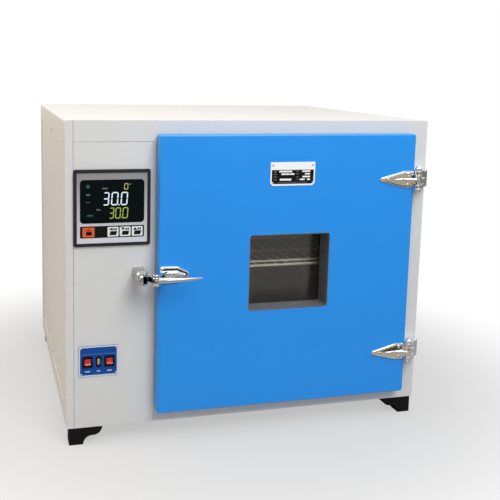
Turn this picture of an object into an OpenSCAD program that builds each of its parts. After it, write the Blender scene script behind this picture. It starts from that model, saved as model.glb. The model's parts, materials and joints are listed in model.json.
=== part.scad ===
// Forced-air drying oven for a laboratory bench, with its control column on the left
// and a windowed door on the right, hung on two strap hinges and held by a lever latch.
// Modules are drawn in casing coordinates: x from the left side, y back from the front
// panel, z up from the casing's underside. A depth named out_ is measured forward.

/* [Casing] */
// Width of the casing, left side to right side
casing_w = 740; // [700:5:800]
// Height of the casing above its feet
casing_h = 594; // [570:2:640]
// Depth of the casing, front panel to back panel
casing_d = 640; // [610:5:700]
// Thickness of the folded steel sheet
sheet_t = 1.5; // [1.2:0.1:2]
// Outer radius of the bends along the top edges
bend_r = 4; // [3:0.5:6]
// Width of the flange that the left side turns onto the front
flange_w = 14.5; // [12:0.5:18]
// Height of the strip above the control panel
head_strip_h = 40; // [30:1:50]
// Width of the seams between front plates
seam = 0.6; // [0.4:0.1:1]
// Border left round the access opening in the left side
side_border = 34; // [30:1:60]
// Overlap of the side cover behind that border
cover_lap = 12; // [8:1:14]
// Height of the turned-up edges of the base pan
pan_edge_h = 18; // [12:1:20]

/* [Feet] */
// Height of the bracket feet
foot_h = 34; // [28:1:40]
// Width of a foot under the casing
foot_w = 64; // [58:1:76]
// Width of a foot on the floor
foot_toe_w = 27; // [24:1:34]
// Depth of a foot, front to back
foot_d = 31; // [26:1:36]
// Distance of a foot in from the casing's side
foot_inset = 5; // [3:0.5:10]

/* [Door] */
// Width of the control column, left side to the door's edge
column_w = 171; // [165:1:185]
// Casing that shows right of the door
door_right_gap = 41; // [38:1:46]
// Casing that shows above the door
door_top_gap = 25; // [20:1:30]
// Casing that shows below the door
door_bottom_gap = 27; // [22:1:32]
// How far the door's face stands out from the front panel
door_proud = 30; // [28:0.5:34]
// Thickness of the door gasket with its seating gap
gasket_t = 5; // [4:0.5:7]
// Width of the gasket's bead
gasket_w = 11; // [9:1:14]
// Softened edge round the door's face
door_edge_r = 2.5; // [1.5:0.5:4]
// Corner radius of the door
door_corner_r = 5; // [4:0.5:8]
// Depth of the plug that the door carries into the chamber
plug_d = 26; // [24:1:32]
// Clearance round the plug
plug_gap = 10; // [8:1:14]

/* [Window] */
// Width of the window opening
window_w = 168; // [150:2:190]
// Height of the window opening
window_h = 152; // [140:2:170]
// Corner radius of the window opening
window_r = 6; // [4:1:12]
// Thickness of each pane
pane_t = 4; // [3:0.5:5]
// Overlap of the panes beyond the opening
pane_lap = 10; // [8:1:14]
// Thickness of the seal between the panes
pane_seal_t = 2.8; // [2:0.2:4]

/* [Chamber] */
// Overlap of the door beyond the chamber's mouth at each side
door_lap_x = 39; // [36:1:50]
// Overlap of the door beyond the chamber's mouth at top and bottom
door_lap_z = 46; // [40:1:56]
// Room between the chamber's back and the back panel
back_room = 190; // [150:5:200]
// Thickness of the stainless liner, baffle and door panel
liner_t = 1.2; // [1:0.1:1.5]
// Corner radius of the chamber mouth
chamber_r = 10; // [6:1:16]
// Width of the liner's front flange
liner_flange = 14; // [10:1:18]
// Width of the air duct left of the working space
duct_w = 40; // [38:1:46]

/* [Shelves] */
// Height of the lowest shelf level above the chamber floor
level_first = 109; // [95:1:112]
// Distance between shelf levels
level_pitch = 109; // [95:1:112]
// Number of shelf levels on the runners
level_count = 3; // [2:1:3]
// Width of the ledge that carries a shelf
ledge_w = 11; // [9:1:14]
// Diameter of the shelf rim
rim_d = 6; // [5:0.5:7]
// Diameter of the shelf wires
wire_d = 3; // [2.4:0.2:4]
// Distance between the shelf wires
wire_pitch = 22; // [16:1:30]
// Height of the raised front rail above the rim
rail_h = 9; // [8:1:14]
// Play between a shelf's rim and the runners
shelf_play = 2; // [1:0.5:4]

/* [Hinges] */
// Height of the lower hinge above the door's lower edge
hinge_low_up = 89; // [60:1:120]
// Height of the upper hinge below the door's upper edge
hinge_high_down = 91; // [60:1:120]
// Distance of the pin outward from the door's edge
pin_out_x = 4; // [3:0.5:6]
// Distance of the pin forward of the door's face
pin_out_y = 8; // [7.5:0.5:10]
// Diameter of the hinge pin
pin_d = 6; // [5:0.5:7]
// Radius of the hinge knuckles
knuckle_r = 7; // [6:0.5:7.5]
// Height of a hinge leaf at its knuckles
leaf_h = 36; // [30:1:44]
// Height of the door leaf's own knuckle
knuckle_h = 20; // [16:1:24]
// Length of the pointed door leaf from the pin to its tip
leaf_l = 81; // [75:1:95]
// Thickness of the door leaf
leaf_t = 3; // [2.5:0.5:4]
// Height of the raised rib along both leaves
rib_h = 6; // [5:0.5:8]
// Radius of the domes on the pin's ends
dome_r = 7; // [6:0.5:7.5]

/* [Latch] */
// Height of the latch below the controller's lower edge
latch_down = 54; // [46:1:70]
// Distance of the lever's pin left of the door's edge
lever_pin_out_x = 12.5; // [11:0.5:13.5]
// Distance of the lever's pin forward of the front panel
lever_pin_out_y = 66; // [62:1:70]
// Diameter of the lever's pin
lever_pin_d = 5; // [4:0.5:6]
// Length of the lever from its pin to its tip
lever_l = 93; // [85:1:100]
// Height of the lever at its pin
lever_h = 11.5; // [10:0.5:13]
// Length of the latch's base on the door
latch_base_l = 57; // [52:1:66]
// Height of the latch's base at its wide end
latch_base_h = 30; // [27:1:34]
// Thickness of the latch's domed base
latch_base_t = 10; // [8:0.5:12]
// Thickness of the ears that hold the lever's pin
ear_t = 4; // [3:0.5:4.5]
// Diameter of the keeper's roller
roller_d = 8; // [7:0.5:9]
// Distance of the roller forward of the front panel
roller_out_y = 54; // [52:1:56]

/* [Controller] */
// Side of the square controller bezel
bezel_s = 145; // [140:1:150]
// Distance of the bezel's left edge from the casing's side
bezel_x = 14.5; // [14:0.5:18]
// Distance of the bezel's upper edge below the casing's top
bezel_down = 91; // [80:1:110]
// Width of the bezel's dark rim
bezel_rim = 6; // [4:0.5:8]
// How far the bezel stands out
bezel_out = 5; // [4:0.5:7]
// Width of the display window and key strip
display_w = 121; // [116:1:125]
// Height of the display window
display_h = 82; // [76:1:86]
// Height of the display's lower edge above the bezel's
display_up = 44; // [42:1:46]
// Height of the key strip
strip_h = 22.5; // [20:0.5:24]
// Height of the key strip's lower edge above the bezel's
strip_up = 16; // [12:0.5:17]
// Height of the keys
key_h = 18; // [15:0.5:18.5]
// Width of the three pale keys
key_w = 20.5; // [18:0.5:22]
// Distance between the pale keys, centre to centre
key_pitch = 23; // [22.5:0.5:24]
// Width of the power key
power_key_w = 22.5; // [20:0.5:25]
// How far a key stands out of its strip
key_out = 1.2; // [1:0.1:2]
// Depth of the controller's housing behind the panel
housing_d = 72; // [60:1:90]

/* [Switch plate] */
// Width of the switch plate
plate_w = 76; // [70:1:85]
// Height of the switch plate
plate_h = 60; // [56:1:66]
// Distance of the plate's left edge from the casing's side
plate_x = 23.5; // [18:0.5:26]
// Height of the plate's lower edge
plate_z = 103; // [80:1:130]
// Thickness of the switch plate
plate_t = 1.5; // [1:0.1:2]
// Width of a rocker switch's bezel
switch_w = 19.5; // [18:0.5:21]
// Height of a rocker switch's bezel
switch_h = 21.5; // [20:0.5:23]
// Height of the switches above the plate's lower edge, at their centre
switch_up = 29; // [26:1:32]
// Distance between the two switches
switch_pitch = 42; // [40:0.5:45]
// Swing of a rocker from one side to the other, in degrees
rocker_swing = 20; // [14:1:24]

/* [Nameplate] */
// Width of the blank nameplate
nameplate_w = 92; // [80:1:100]
// Height of the blank nameplate
nameplate_h = 46; // [40:1:52]
// Height of the nameplate's centre below the door's top edge
nameplate_down = 76; // [60:1:90]
// Thickness of the nameplate
nameplate_t = 0.8; // [0.6:0.1:1.2]

/* [Air circulation] */
// Distance of the fan's axis behind the chamber's middle
fan_back = 23.5; // [10:0.5:30]
// Diameter of the impeller
impeller_d = 168; // [150:2:190]
// Width of the impeller's blades
blade_w = 24; // [20:1:26]
// Number of blades
blade_count = 20; // [16:1:26]
// Thickness of a blade
blade_t = 1.2; // [1:0.1:1.6]
// Diameter of the fan's shaft
shaft_d = 8; // [6:0.5:10]
// Diameter of the fan motor
motor_d = 92; // [80:1:100]
// Length of the fan motor
motor_l = 58; // [50:1:70]
// Length of the posts between the motor plate and the partition
post_l = 32; // [26:1:40]
// Diameter of the heating tube
heater_d = 8.5; // [7:0.5:9]
// Distance between the two runs of a heating loop
heater_pitch = 40; // [34:1:44]
// Height of a loop's nearer run above or below the fan's axis
heater_off = 112; // [108:1:122]
// Reach of the heating loops before and behind the fan's axis
heater_reach = 115; // [100:1:120]
// Length of the loops' cold ends behind the partition
cold_end_l = 14; // [12:1:18]
// Distance of the temperature probe behind the impeller's edge
probe_off = 26; // [20:1:34]
// Length of the relay's heat sink
relay_l = 80; // [60:2:90]
// Height of the relay's heat sink
relay_h = 100; // [80:2:110]
// Depth of the relay's fins
relay_fin = 20; // [14:1:26]
// Distance of the relay's front edge from the casing's back
relay_back = 170; // [140:5:180]

/* [Back] */
// Inner radius of the exhaust port
port_r = 20; // [16:1:24]
// Wall of the exhaust port
port_wall = 1.5; // [1.2:0.1:2]
// How far the exhaust port stands out behind the casing
port_out = 40; // [38:1:46]
// Length of the hose spigot at the port's end
spigot_l = 15; // [10:1:15]
// Thickness that the spigot adds to the port's wall
spigot_t = 1; // [0.6:0.1:1.2]
// Height of the exhaust port below the chamber's ceiling
port_down = 60; // [45:1:90]
// Number of louvres in the back panel
louvre_count = 7; // [5:1:9]
// Distance between louvres
louvre_pitch = 22; // [18:1:26]
// Length of a louvre
louvre_l = 96; // [80:2:110]
// Radius of the cable gland's passage
gland_r = 5; // [4:0.5:6]

/* [Fits] */
// Clearance between parts that touch softly or pass each other
play = 0.3; // [0.2:0.05:0.5]
// Radial clearance of pins and shafts in their bores
pin_play = 0.05; // [0.03:0.01:0.1]

/* [Hidden] */
$fn = 64;
SMALL = 0.01;

steel_grey = [0.84, 0.85, 0.86];
door_blue = [0.16, 0.55, 0.90];
stainless = [0.72, 0.73, 0.74];
chrome = [0.85, 0.86, 0.88];
wool = [0.86, 0.82, 0.66];
black = [0.07, 0.07, 0.08];
dark_grey = [0.22, 0.24, 0.25];

// Door, in casing coordinates
door_x0 = column_w;
door_x1 = casing_w - door_right_gap;
door_z0 = door_bottom_gap;
door_z1 = casing_h - door_top_gap;
door_w = door_x1 - door_x0;
door_h = door_z1 - door_z0;
door_cx = (door_x0 + door_x1) / 2;
door_cz = (door_z0 + door_z1) / 2;

// Chamber, centred behind the door
chamber_w = door_w - 2 * door_lap_x;
chamber_h = door_h - 2 * door_lap_z;
chamber_d = casing_d - back_room;
chamber_x0 = door_cx - chamber_w / 2;
chamber_x1 = door_cx + chamber_w / 2;
chamber_z0 = door_cz - chamber_h / 2;
chamber_z1 = door_cz + chamber_h / 2;
chamber_y0 = sheet_t;
chamber_y1 = chamber_y0 + chamber_d;
wall_front = 2 * sheet_t;

// Partition between the control column and the insulation
panel_x0 = flange_w + seam;
panel_x1 = column_w;
panel_z1 = casing_h - head_strip_h;
partition_x = column_w - 5;
partition_x1 = partition_x + sheet_t;

// Where the frame's origin lies: centre of the whole depth, on the floor
lever_half_t = 5.5;
lever_bow = 7;
out_max = lever_pin_out_y + lever_bow + lever_half_t;
front_y = (out_max - casing_d - port_out) / 2;

// Height of the controller's lower edge
bezel_z = casing_h - bezel_down - bezel_s;

// Duct, fan and shelves
fan_y = chamber_y0 + chamber_d / 2 + fan_back;
baffle_x = chamber_x0 + duct_w;
fan_z = door_cz;
impeller_x0 = chamber_x0 + 6;
baffle_y0 = chamber_y0 + plug_d + 6;
shelf_x0 = baffle_x + liner_t + shelf_play;
shelf_x1 = chamber_x1 - shelf_play;
runner_y0 = baffle_y0 + 8;
runner_y1 = chamber_y1 - 14;
shelf_y0 = runner_y0 + 2;
shelf_y1 = runner_y1 - 2;
motor_x1 = partition_x - post_l;

// Plug and panes of the door, measured back from the front panel
plug_w = chamber_w - 2 * plug_gap;
plug_h = chamber_h - 2 * plug_gap;
inner_pane_y = plug_d - liner_t - pane_t;
pane_seal_y = inner_pane_y - pane_seal_t;
outer_pane_y = pane_seal_y - pane_t;
frame_wall = 1.5;

// Hinge pin
pin_x = door_x1 + pin_out_x;
pin_y = -(door_proud + pin_out_y);

// Latch
latch_z = bezel_z - latch_down;
lever_x = door_x0 - lever_pin_out_x;
lever_y = -lever_pin_out_y;
nose_x = -14;
nose_y = 22;
nose_r = 2.5;
roller_x = lever_x + nose_x - nose_r - 0.5 - roller_d / 2;
slot_h = lever_h + 1.6;

// Keys, left edges from the bezel's left edge
strip_x = (bezel_s - display_w) / 2;
power_key_x = strip_x + 4.5;
last_key_x = strip_x + display_w - 3 - key_w;

// Louvres, exhaust port and cable gland of the back panel
louvre_r = 8;
louvre_wall = 1.2;
louvre_x = sheet_t + (partition_x - sheet_t) / 2;
louvre_z0 = bezel_z;
port_x = door_cx;
port_z = chamber_z1 - port_down;
damper_y = casing_d + 14;
spindle_r = 2;
gland_x = louvre_x;
gland_z = plate_z;
gland_shank_r = 8;

// Fan wheel, heater, probe and relay
disc_t = 1.5;
hub_r = 13;
hub_l = 20;
impeller_x1 = impeller_x0 + 2 * disc_t + blade_w;
heater_x = impeller_x0 + disc_t + blade_w / 2;
heater_bend = 12;
heater_y0 = fan_y - heater_reach;
heater_y1 = fan_y + heater_reach;
probe_y = fan_y + impeller_d / 2 + probe_off;
probe_r = 2.5;
relay_y = casing_d - relay_back;
relay_z = fan_z;
partition_flange = 20;

// Controller, keys and switches
face_t = bezel_out - 1.5;
strip_t = face_t;
key_travel = 0.8;
lamp_shank_r = 4;
switch_rim_t = 2;
switch_d = 20;
well_w = switch_w - 4.5;
well_h = switch_h - 3.9;
well_d = plate_t + 7;
rocker_out = 1;

// Details of the hinges and the gasket
dome_low = 3;
gasket_off = 13;

// Moves casing coordinates to the frame whose origin is on the floor, under the centre
module at_case() {
    translate([-casing_w / 2, front_y, foot_h]) children();
}

// A flat drawing (x right, z up) raised into a plate from y0 towards the back
module upright(y0, t) {
    translate([0, y0 + t, 0]) rotate([90, 0, 0]) linear_extrude(t) children();
}

// A flat drawing (y back, z up) raised into a plate from x0 to the right
module sideways(x0, t) {
    translate([x0, 0, 0]) rotate([90, 0, 90]) linear_extrude(t) children();
}

// A cylinder along X from x0, and one along Y from y0
module rod_x(x0, l, r) {
    translate([x0, 0, 0]) rotate([0, 90, 0]) cylinder(r = r, h = l);
}

module rod_y(y0, l, r) {
    translate([0, y0, 0]) rotate([-90, 0, 0]) cylinder(r = r, h = l);
}

// Rectangle with round corners, its lower left corner at the origin
module rounded(w, h, r) {
    translate([r, 0]) square([w - 2 * r, h]);
    translate([0, r]) square([w, h - 2 * r]);
    for (x = [r, w - r], y = [r, h - r]) {
        translate([x, y]) circle(r);
    }
}

// The same about its own centre
module rounded_c(w, h, r) {
    translate([-w / 2, -h / 2]) rounded(w, h, r);
}

// Round-headed screw with a cross recess, standing on the plane y = 0 and facing forward
module screw_front(d, h) {
    difference() {
        union() {
            rod_y(-h * 0.6, h * 0.6, d / 2);
            translate([0, -h * 0.6, 0]) rotate([90, 0, 0])
                cylinder(r1 = d / 2, r2 = d / 3, h = h * 0.4);
        }
        for (turn = [0, 90]) {
            rotate([0, turn, 0]) translate([-d * 0.3, -h - 1, -d * 0.06])
                cube([d * 0.6, 1 + h * 0.4, d * 0.12]);
        }
    }
}

// Outline of the casing seen from the front, drawn in by inset on the sides and the top
module casing_outline(inset) {
    r = bend_r - inset;
    w = casing_w - 2 * inset;
    h = casing_h - inset;
    translate([inset, 0]) {
        square([w, h - r]);
        translate([r, 0]) square([w - 2 * r, h]);
        for (x = [r, w - r]) {
            translate([x, h - r]) circle(r);
        }
    }
}

// Outline of the chamber seen from the front, grown by grow
module chamber_outline(grow) {
    translate([chamber_x0 - grow, chamber_z0 - grow])
        rounded(chamber_w + 2 * grow, chamber_h + 2 * grow, chamber_r + grow);
}

// Outline of the window seen from the front, grown by grow
module window_outline(grow) {
    translate([door_cx, door_cz])
        rounded_c(window_w + 2 * grow, window_h + 2 * grow, window_r + grow);
}

// Outline of the door's plug, drawn in by inset
module plug_outline(inset) {
    translate([door_cx, door_cz])
        rounded_c(plug_w - 2 * inset, plug_h - 2 * inset, chamber_r + 2 - inset);
}

// One folded sheet makes the left side, the top, the right side and the left front flange
module outer_casing() {
    color(steel_grey) at_case() {
        difference() {
            upright(0, casing_d) difference() {
                casing_outline(0);
                translate([0, -1]) casing_outline(sheet_t);
                casing_outline(sheet_t);
            }
            translate([-1, side_border, side_border])
                cube([sheet_t + 2, casing_d - 2 * side_border, casing_h - 2 * side_border]);
        }
        upright(0, sheet_t) intersection() {
            casing_outline(0);
            square([flange_w, casing_h]);
        }
    }
}

// Plate that closes the access opening of the left side from within, with stiffening ribs
module side_cover() {
    y0 = side_border - cover_lap;
    l = casing_d - 2 * y0;
    h = casing_h - 2 * y0;
    stiff_w = 12;
    stiff_t = 4;
    stiff_end = 20;
    color(steel_grey) at_case() {
        translate([sheet_t, y0, y0]) cube([sheet_t, l, h]);
        for (y = [y0 + l / 3, y0 + 2 * l / 3]) {
            translate([2 * sheet_t, y - stiff_w / 2, y0 + stiff_end])
                cube([stiff_t, stiff_w, h - 2 * stiff_end]);
        }
    }
}

// Front plate round the chamber's mouth, with the strip above the control panel
module front_frame() {
    color(steel_grey) at_case() upright(0, sheet_t) difference() {
        intersection() {
            casing_outline(sheet_t);
            union() {
                translate([panel_x1 + seam, 0]) square([casing_w, casing_h]);
                translate([panel_x0, panel_z1 + seam]) square([casing_w, casing_h]);
            }
        }
        chamber_outline(0);
    }
}

// Centres of the left switch (0), the lamp (0.5) and the right switch (1)
function switch_x(i) = plate_x + plate_w / 2 + (i - 0.5) * switch_pitch;
function switch_z() = plate_z + switch_up;

// Holes for the two switches and the lamp between them
module switch_holes(gap) {
    for (i = [0, 1]) {
        translate([switch_x(i), switch_z()])
            rounded_c(switch_w - 2 + 2 * gap, switch_h - 2 + 2 * gap, 1);
    }
    translate([switch_x(0.5), switch_z()]) circle(lamp_shank_r + gap);
}

// Front plate of the control column
module control_panel() {
    color(steel_grey) at_case() upright(0, sheet_t) difference() {
        translate([panel_x0, 0]) square([panel_x1 - panel_x0, panel_z1]);
        translate([bezel_x + bezel_rim, bezel_z + bezel_rim])
            square([bezel_s - 2 * bezel_rim, bezel_s - 2 * bezel_rim]);
        switch_holes(play);
    }
}

// Floor of the casing, a tray with turned-up side edges
module base_pan() {
    color(steel_grey) at_case() {
        translate([sheet_t, sheet_t, 0])
            cube([casing_w - 2 * sheet_t, casing_d - 2 * sheet_t, sheet_t]);
        for (x = [sheet_t, casing_w - 2 * sheet_t]) {
            translate([x, sheet_t, 0]) cube([sheet_t, casing_d - 2 * sheet_t, pan_edge_h]);
        }
    }
}

// Quarter-round hood of a louvre, open downwards; its origin is the middle of its lower edge
module louvre_hood() {
    translate([-louvre_l / 2, 0, 0]) difference() {
        intersection() {
            rod_x(0, louvre_l, louvre_r);
            cube([louvre_l, louvre_r, louvre_r]);
        }
        rod_x(louvre_wall, louvre_l - 2 * louvre_wall, louvre_r - louvre_wall);
    }
}

// Back of the casing: louvres behind the control column, the exhaust hole and the cable hole
module back_panel() {
    lip = 14;
    lip_z0 = pan_edge_h + 2;
    lip_y = casing_d - lip;
    color(steel_grey) at_case() {
        difference() {
            upright(casing_d - sheet_t, sheet_t) casing_outline(sheet_t);
            translate([port_x, 0, port_z])
                rod_y(casing_d - sheet_t - 1, sheet_t + 2, port_r + port_wall + play);
            translate([gland_x, 0, gland_z])
                rod_y(casing_d - sheet_t - 1, sheet_t + 2, gland_shank_r + play);
            for (i = [0 : louvre_count - 1]) {
                translate([louvre_x, casing_d - sheet_t - 1, louvre_z0 + i * louvre_pitch])
                    translate([-louvre_l / 2 + louvre_wall, 0, 0])
                    cube([louvre_l - 2 * louvre_wall, sheet_t + 2, louvre_r - louvre_wall]);
            }
        }
        for (i = [0 : louvre_count - 1]) {
            translate([louvre_x, casing_d, louvre_z0 + i * louvre_pitch]) louvre_hood();
        }
        for (x = [sheet_t, casing_w - 2 * sheet_t]) {
            translate([x, lip_y, lip_z0])
                cube([sheet_t, lip, casing_h - bend_r - lip_z0]);
        }
    }
}

// Places of what passes through the partition into the duct: y, z and radius
function crossings() = [
    [fan_y, fan_z, shaft_d / 2],
    [probe_y, fan_z, probe_r],
    for (side = [-1, 1], run = [0, 1])
        [heater_y0, fan_z + side * (heater_off + run * heater_pitch), heater_d / 2]
];

module crossing_holes(gap) {
    for (c = crossings()) {
        translate([c[0], c[1]]) circle(c[2] + gap);
    }
}

// Steel wall between the control column and the insulation, flanged behind the front plates
module partition() {
    h = casing_h - 3 * sheet_t;
    color(steel_grey) at_case() {
        sideways(partition_x, sheet_t) difference() {
            translate([sheet_t, sheet_t]) square([casing_d - 2 * sheet_t, h]);
            crossing_holes(1);
        }
        translate([partition_x, sheet_t, sheet_t]) cube([partition_flange, sheet_t, h]);
    }
}

// Mineral wool round the liner, as five slabs
module chamber_insulation() {
    x0 = partition_x1;
    x1 = casing_w - 2 * sheet_t;
    z0 = sheet_t;
    z1 = casing_h - 2 * sheet_t;
    low = chamber_z0 - liner_t;
    high = chamber_z1 + liner_t;
    left = chamber_x0 - liner_t;
    right = chamber_x1 + liner_t;
    back = chamber_y1 + liner_t;
    color(wool) at_case() {
        translate([x0, wall_front, z0]) cube([x1 - x0, back - wall_front - seam, low - z0]);
        translate([x0, wall_front, high]) cube([x1 - x0, back - wall_front - seam, z1 - high]);
        sideways(x0, left - x0) difference() {
            translate([wall_front, low + seam])
                square([back - wall_front - seam, high - low - 2 * seam]);
            crossing_holes(1);
        }
        translate([right, wall_front, low + seam])
            cube([x1 - right, back - wall_front - seam, high - low - 2 * seam]);
        difference() {
            translate([x0, back, z0]) cube([x1 - x0, casing_d - sheet_t - back, z1 - z0]);
            translate([port_x, 0, port_z])
                rod_y(back - 1, casing_d - back + 2, port_r + port_wall + play);
        }
    }
}

// Stainless chamber, folded with a flange that lies behind the front frame
module chamber_liner() {
    color(stainless) at_case() difference() {
        union() {
            upright(chamber_y0, chamber_d + liner_t) chamber_outline(liner_t);
            upright(chamber_y0, liner_t) chamber_outline(liner_t + liner_flange);
        }
        upright(chamber_y0 - 1, chamber_d + 1) chamber_outline(0);
        sideways(chamber_x0 - liner_t - 1, liner_t + 2) crossing_holes(0.5);
        translate([port_x, 0, port_z])
            rod_y(chamber_y1 - 1, liner_t + 2, port_r + port_wall + play);
    }
}

// Perforated wall of the air duct: the fan draws through the middle and blows out at top and bottom
module duct_baffle() {
    slot_count = 8;
    slot_pitch_y = (chamber_y1 - baffle_y0) / (slot_count + 1);
    slot_l = slot_pitch_y - 12;
    slot_h = 6;
    color(stainless) at_case() {
        sideways(baffle_x, liner_t) difference() {
            translate([baffle_y0, chamber_z0]) square([chamber_y1 - baffle_y0, chamber_h]);
            translate([fan_y, fan_z]) circle(6);
            for (ring = [1 : 3], i = [0 : 6 * ring - 1]) {
                translate([fan_y, fan_z]) rotate(i * 60 / ring) translate([ring * 18, 0]) circle(6);
            }
            for (side = [-1, 1], row = [0 : 2], i = [1 : slot_count]) {
                translate([baffle_y0 + i * slot_pitch_y,
                           fan_z + side * (chamber_h / 2 - 26 - row * 20)])
                    rounded_c(slot_l, slot_h, slot_h / 2 - SMALL);
            }
        }
        upright(baffle_y0, liner_t) intersection() {
            chamber_outline(0);
            translate([chamber_x0, 0]) square([baffle_x - chamber_x0, casing_h]);
        }
    }
}

function level_z(i) = chamber_z0 + level_first + i * level_pitch;

// Ladder of ledges on one wall of the chamber; side is 1 where the ledges reach to the right
module runner(wall_x, side) {
    post_w = 18;
    post_in = 40;
    post_below = 22;
    post_z0 = level_z(0) - post_below;
    post_h = (level_count - 1) * level_pitch + post_below + 12;
    l = runner_y1 - runner_y0;
    color(stainless) at_case() translate([wall_x, 0, 0]) scale([side, 1, 1]) {
        for (y = [runner_y0 + post_in, runner_y1 - post_in - post_w]) {
            translate([0, y, post_z0]) cube([liner_t, post_w, post_h]);
        }
        for (i = [0 : level_count - 1]) {
            translate([0, runner_y0, level_z(i) - liner_t]) cube([ledge_w, l, liner_t]);
            translate([0, runner_y0, level_z(i) - 8]) cube([liner_t, l, 8]);
        }
    }
}

module runner_left() {
    runner(baffle_x + liner_t, 1);
}

module runner_right() {
    runner(chamber_x1, -1);
}

// Wire shelf: a rim of heavy rod, wires welded across it and a raised rail along its front
module wire_shelf(level) {
    z = level_z(level) + rim_d / 2;
    x0 = shelf_x0 + rim_d / 2;
    x1 = shelf_x1 - rim_d / 2;
    y0 = shelf_y0 + rim_d / 2;
    y1 = shelf_y1 - rim_d / 2;
    count = floor((x1 - x0 - rim_d) / wire_pitch);
    first = (x0 + x1 - (count - 1) * wire_pitch) / 2;
    color(stainless) at_case() {
        for (y = [y0, y1]) {
            translate([0, y, z]) rod_x(x0, x1 - x0, rim_d / 2);
        }
        for (x = [x0, x1]) {
            translate([x, 0, z]) rod_y(y0, y1 - y0, rim_d / 2);
            for (y = [y0, y1]) {
                translate([x, y, z]) sphere(rim_d / 2);
            }
        }
        for (y = [(2 * y0 + y1) / 3, (y0 + 2 * y1) / 3]) {
            translate([0, y, z]) rod_x(x0, x1 - x0, rim_d / 2 - 0.6);
        }
        for (i = [0 : count - 1]) {
            translate([first + i * wire_pitch, 0, z + rim_d / 2]) rod_y(y0, y1 - y0, wire_d / 2);
        }
        translate([0, y0, z + rail_h]) rod_x(x0, x1 - x0, rim_d / 2 - 0.6);
        for (x = [x0 + rim_d / 2, (x0 + x1) / 2, x1 - rim_d / 2]) {
            translate([x, y0, z]) cylinder(r = wire_d / 2, h = rail_h);
        }
    }
}

module upper_shelf() {
    wire_shelf(2);
}

module lower_shelf() {
    wire_shelf(1);
}

// One hairpin of heating tube: two cold legs through the wall, two runs and a round turn
module heater_loop(side) {
    r = heater_d / 2;
    x1 = heater_x;
    pin_r = 2;
    pin_l = 12.5;
    plate_t = 3;
    plate_edge = 13;
    z_near = fan_z + side * heater_off;
    z_far = z_near + side * heater_pitch;
    y0 = heater_y0;
    y1 = heater_y1;
    for (z = [z_near, z_far]) {
        translate([0, y0, z])
            rod_x(partition_x - cold_end_l, x1 - heater_bend - partition_x + cold_end_l, r);
        translate([x1 - heater_bend, y0 + heater_bend, z]) rotate([0, 0, -90])
            rotate_extrude(angle = 90) translate([heater_bend, 0]) circle(r);
        translate([x1, 0, z]) rod_y(y0 + heater_bend, y1 - y0 - heater_bend, r);
        translate([0, y0, z]) rod_x(partition_x - cold_end_l - pin_l + 0.5, pin_l, pin_r);
    }
    translate([x1, y1, (z_near + z_far) / 2]) rotate([0, 90, 0])
        rotate_extrude(angle = 180) translate([heater_pitch / 2, 0]) circle(r);
    translate([partition_x - plate_t, y0 - plate_edge, min(z_near, z_far) - plate_edge])
        cube([plate_t, 2 * plate_edge, heater_pitch + 2 * plate_edge]);
}

module heater() {
    color(dark_grey) at_case() {
        heater_loop(1);
        heater_loop(-1);
    }
}

// Sheathed sensor that reaches into the returning air, on a hexagon fitting
module temperature_probe() {
    hex_l = 7;
    head_l = 18;
    end_gap = 8;
    color(stainless) at_case() translate([partition_x - hex_l, probe_y, fan_z]) {
        rod_x(0, baffle_x - end_gap - partition_x + hex_l, probe_r);
        rotate([0, 90, 0]) cylinder(r = 8, h = hex_l, $fn = 6);
        rod_x(-head_l, head_l + 0.5, 5);
    }
}

// Shaded-pole motor: ribbed body with end bells, bored for the shaft
module fan_motor() {
    x0 = motor_x1 - motor_l;
    bell = 7;
    color(black) at_case() translate([0, fan_y, fan_z]) difference() {
        union() {
            rod_x(x0 + bell, motor_l - bell, motor_d / 2 - 3);
            translate([x0, 0, 0]) rotate([0, 90, 0])
                cylinder(r1 = motor_d / 2 - 12, r2 = motor_d / 2 - 3, h = bell);
            for (i = [0 : 4]) {
                rod_x(x0 + bell + 3 + i * 9, 4, motor_d / 2);
            }
        }
        rod_x(motor_x1 - 12, 13, shaft_d / 2 + pin_play);
    }
}

// Square plate on four posts that carries the motor clear of the hot wall
module motor_bracket() {
    reach = motor_d / 2 - 3;
    t = 2.5;
    color(steel_grey) at_case() {
        sideways(motor_x1, t) difference() {
            translate([fan_y, fan_z]) rounded_c(motor_d + 14, motor_d + 14, 8);
            translate([fan_y, fan_z]) circle(17);
        }
        for (dy = [-reach, reach], dz = [-reach, reach]) {
            translate([0, fan_y + dy, fan_z + dz]) rod_x(motor_x1 + t, post_l - t, 5);
        }
    }
}

module fan_shaft() {
    x0 = motor_x1 - 10;
    color(stainless) at_case() translate([0, fan_y, fan_z])
        rod_x(x0, impeller_x1 + 3 - x0, shaft_d / 2);
}

// Outline of one curved blade, between the hub side and the rim of the wheel
module blade_outline() {
    ro = impeller_d / 2 - 1;
    ri = impeller_d * 0.32;
    rb = impeller_d * 0.21;
    intersection() {
        difference() {
            circle(ro);
            circle(ri);
        }
        translate([impeller_d * 0.475, 0]) difference() {
            circle(rb + blade_t / 2);
            circle(rb - blade_t / 2);
        }
        translate([0, 1]) square([impeller_d, impeller_d]);
    }
}

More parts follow.
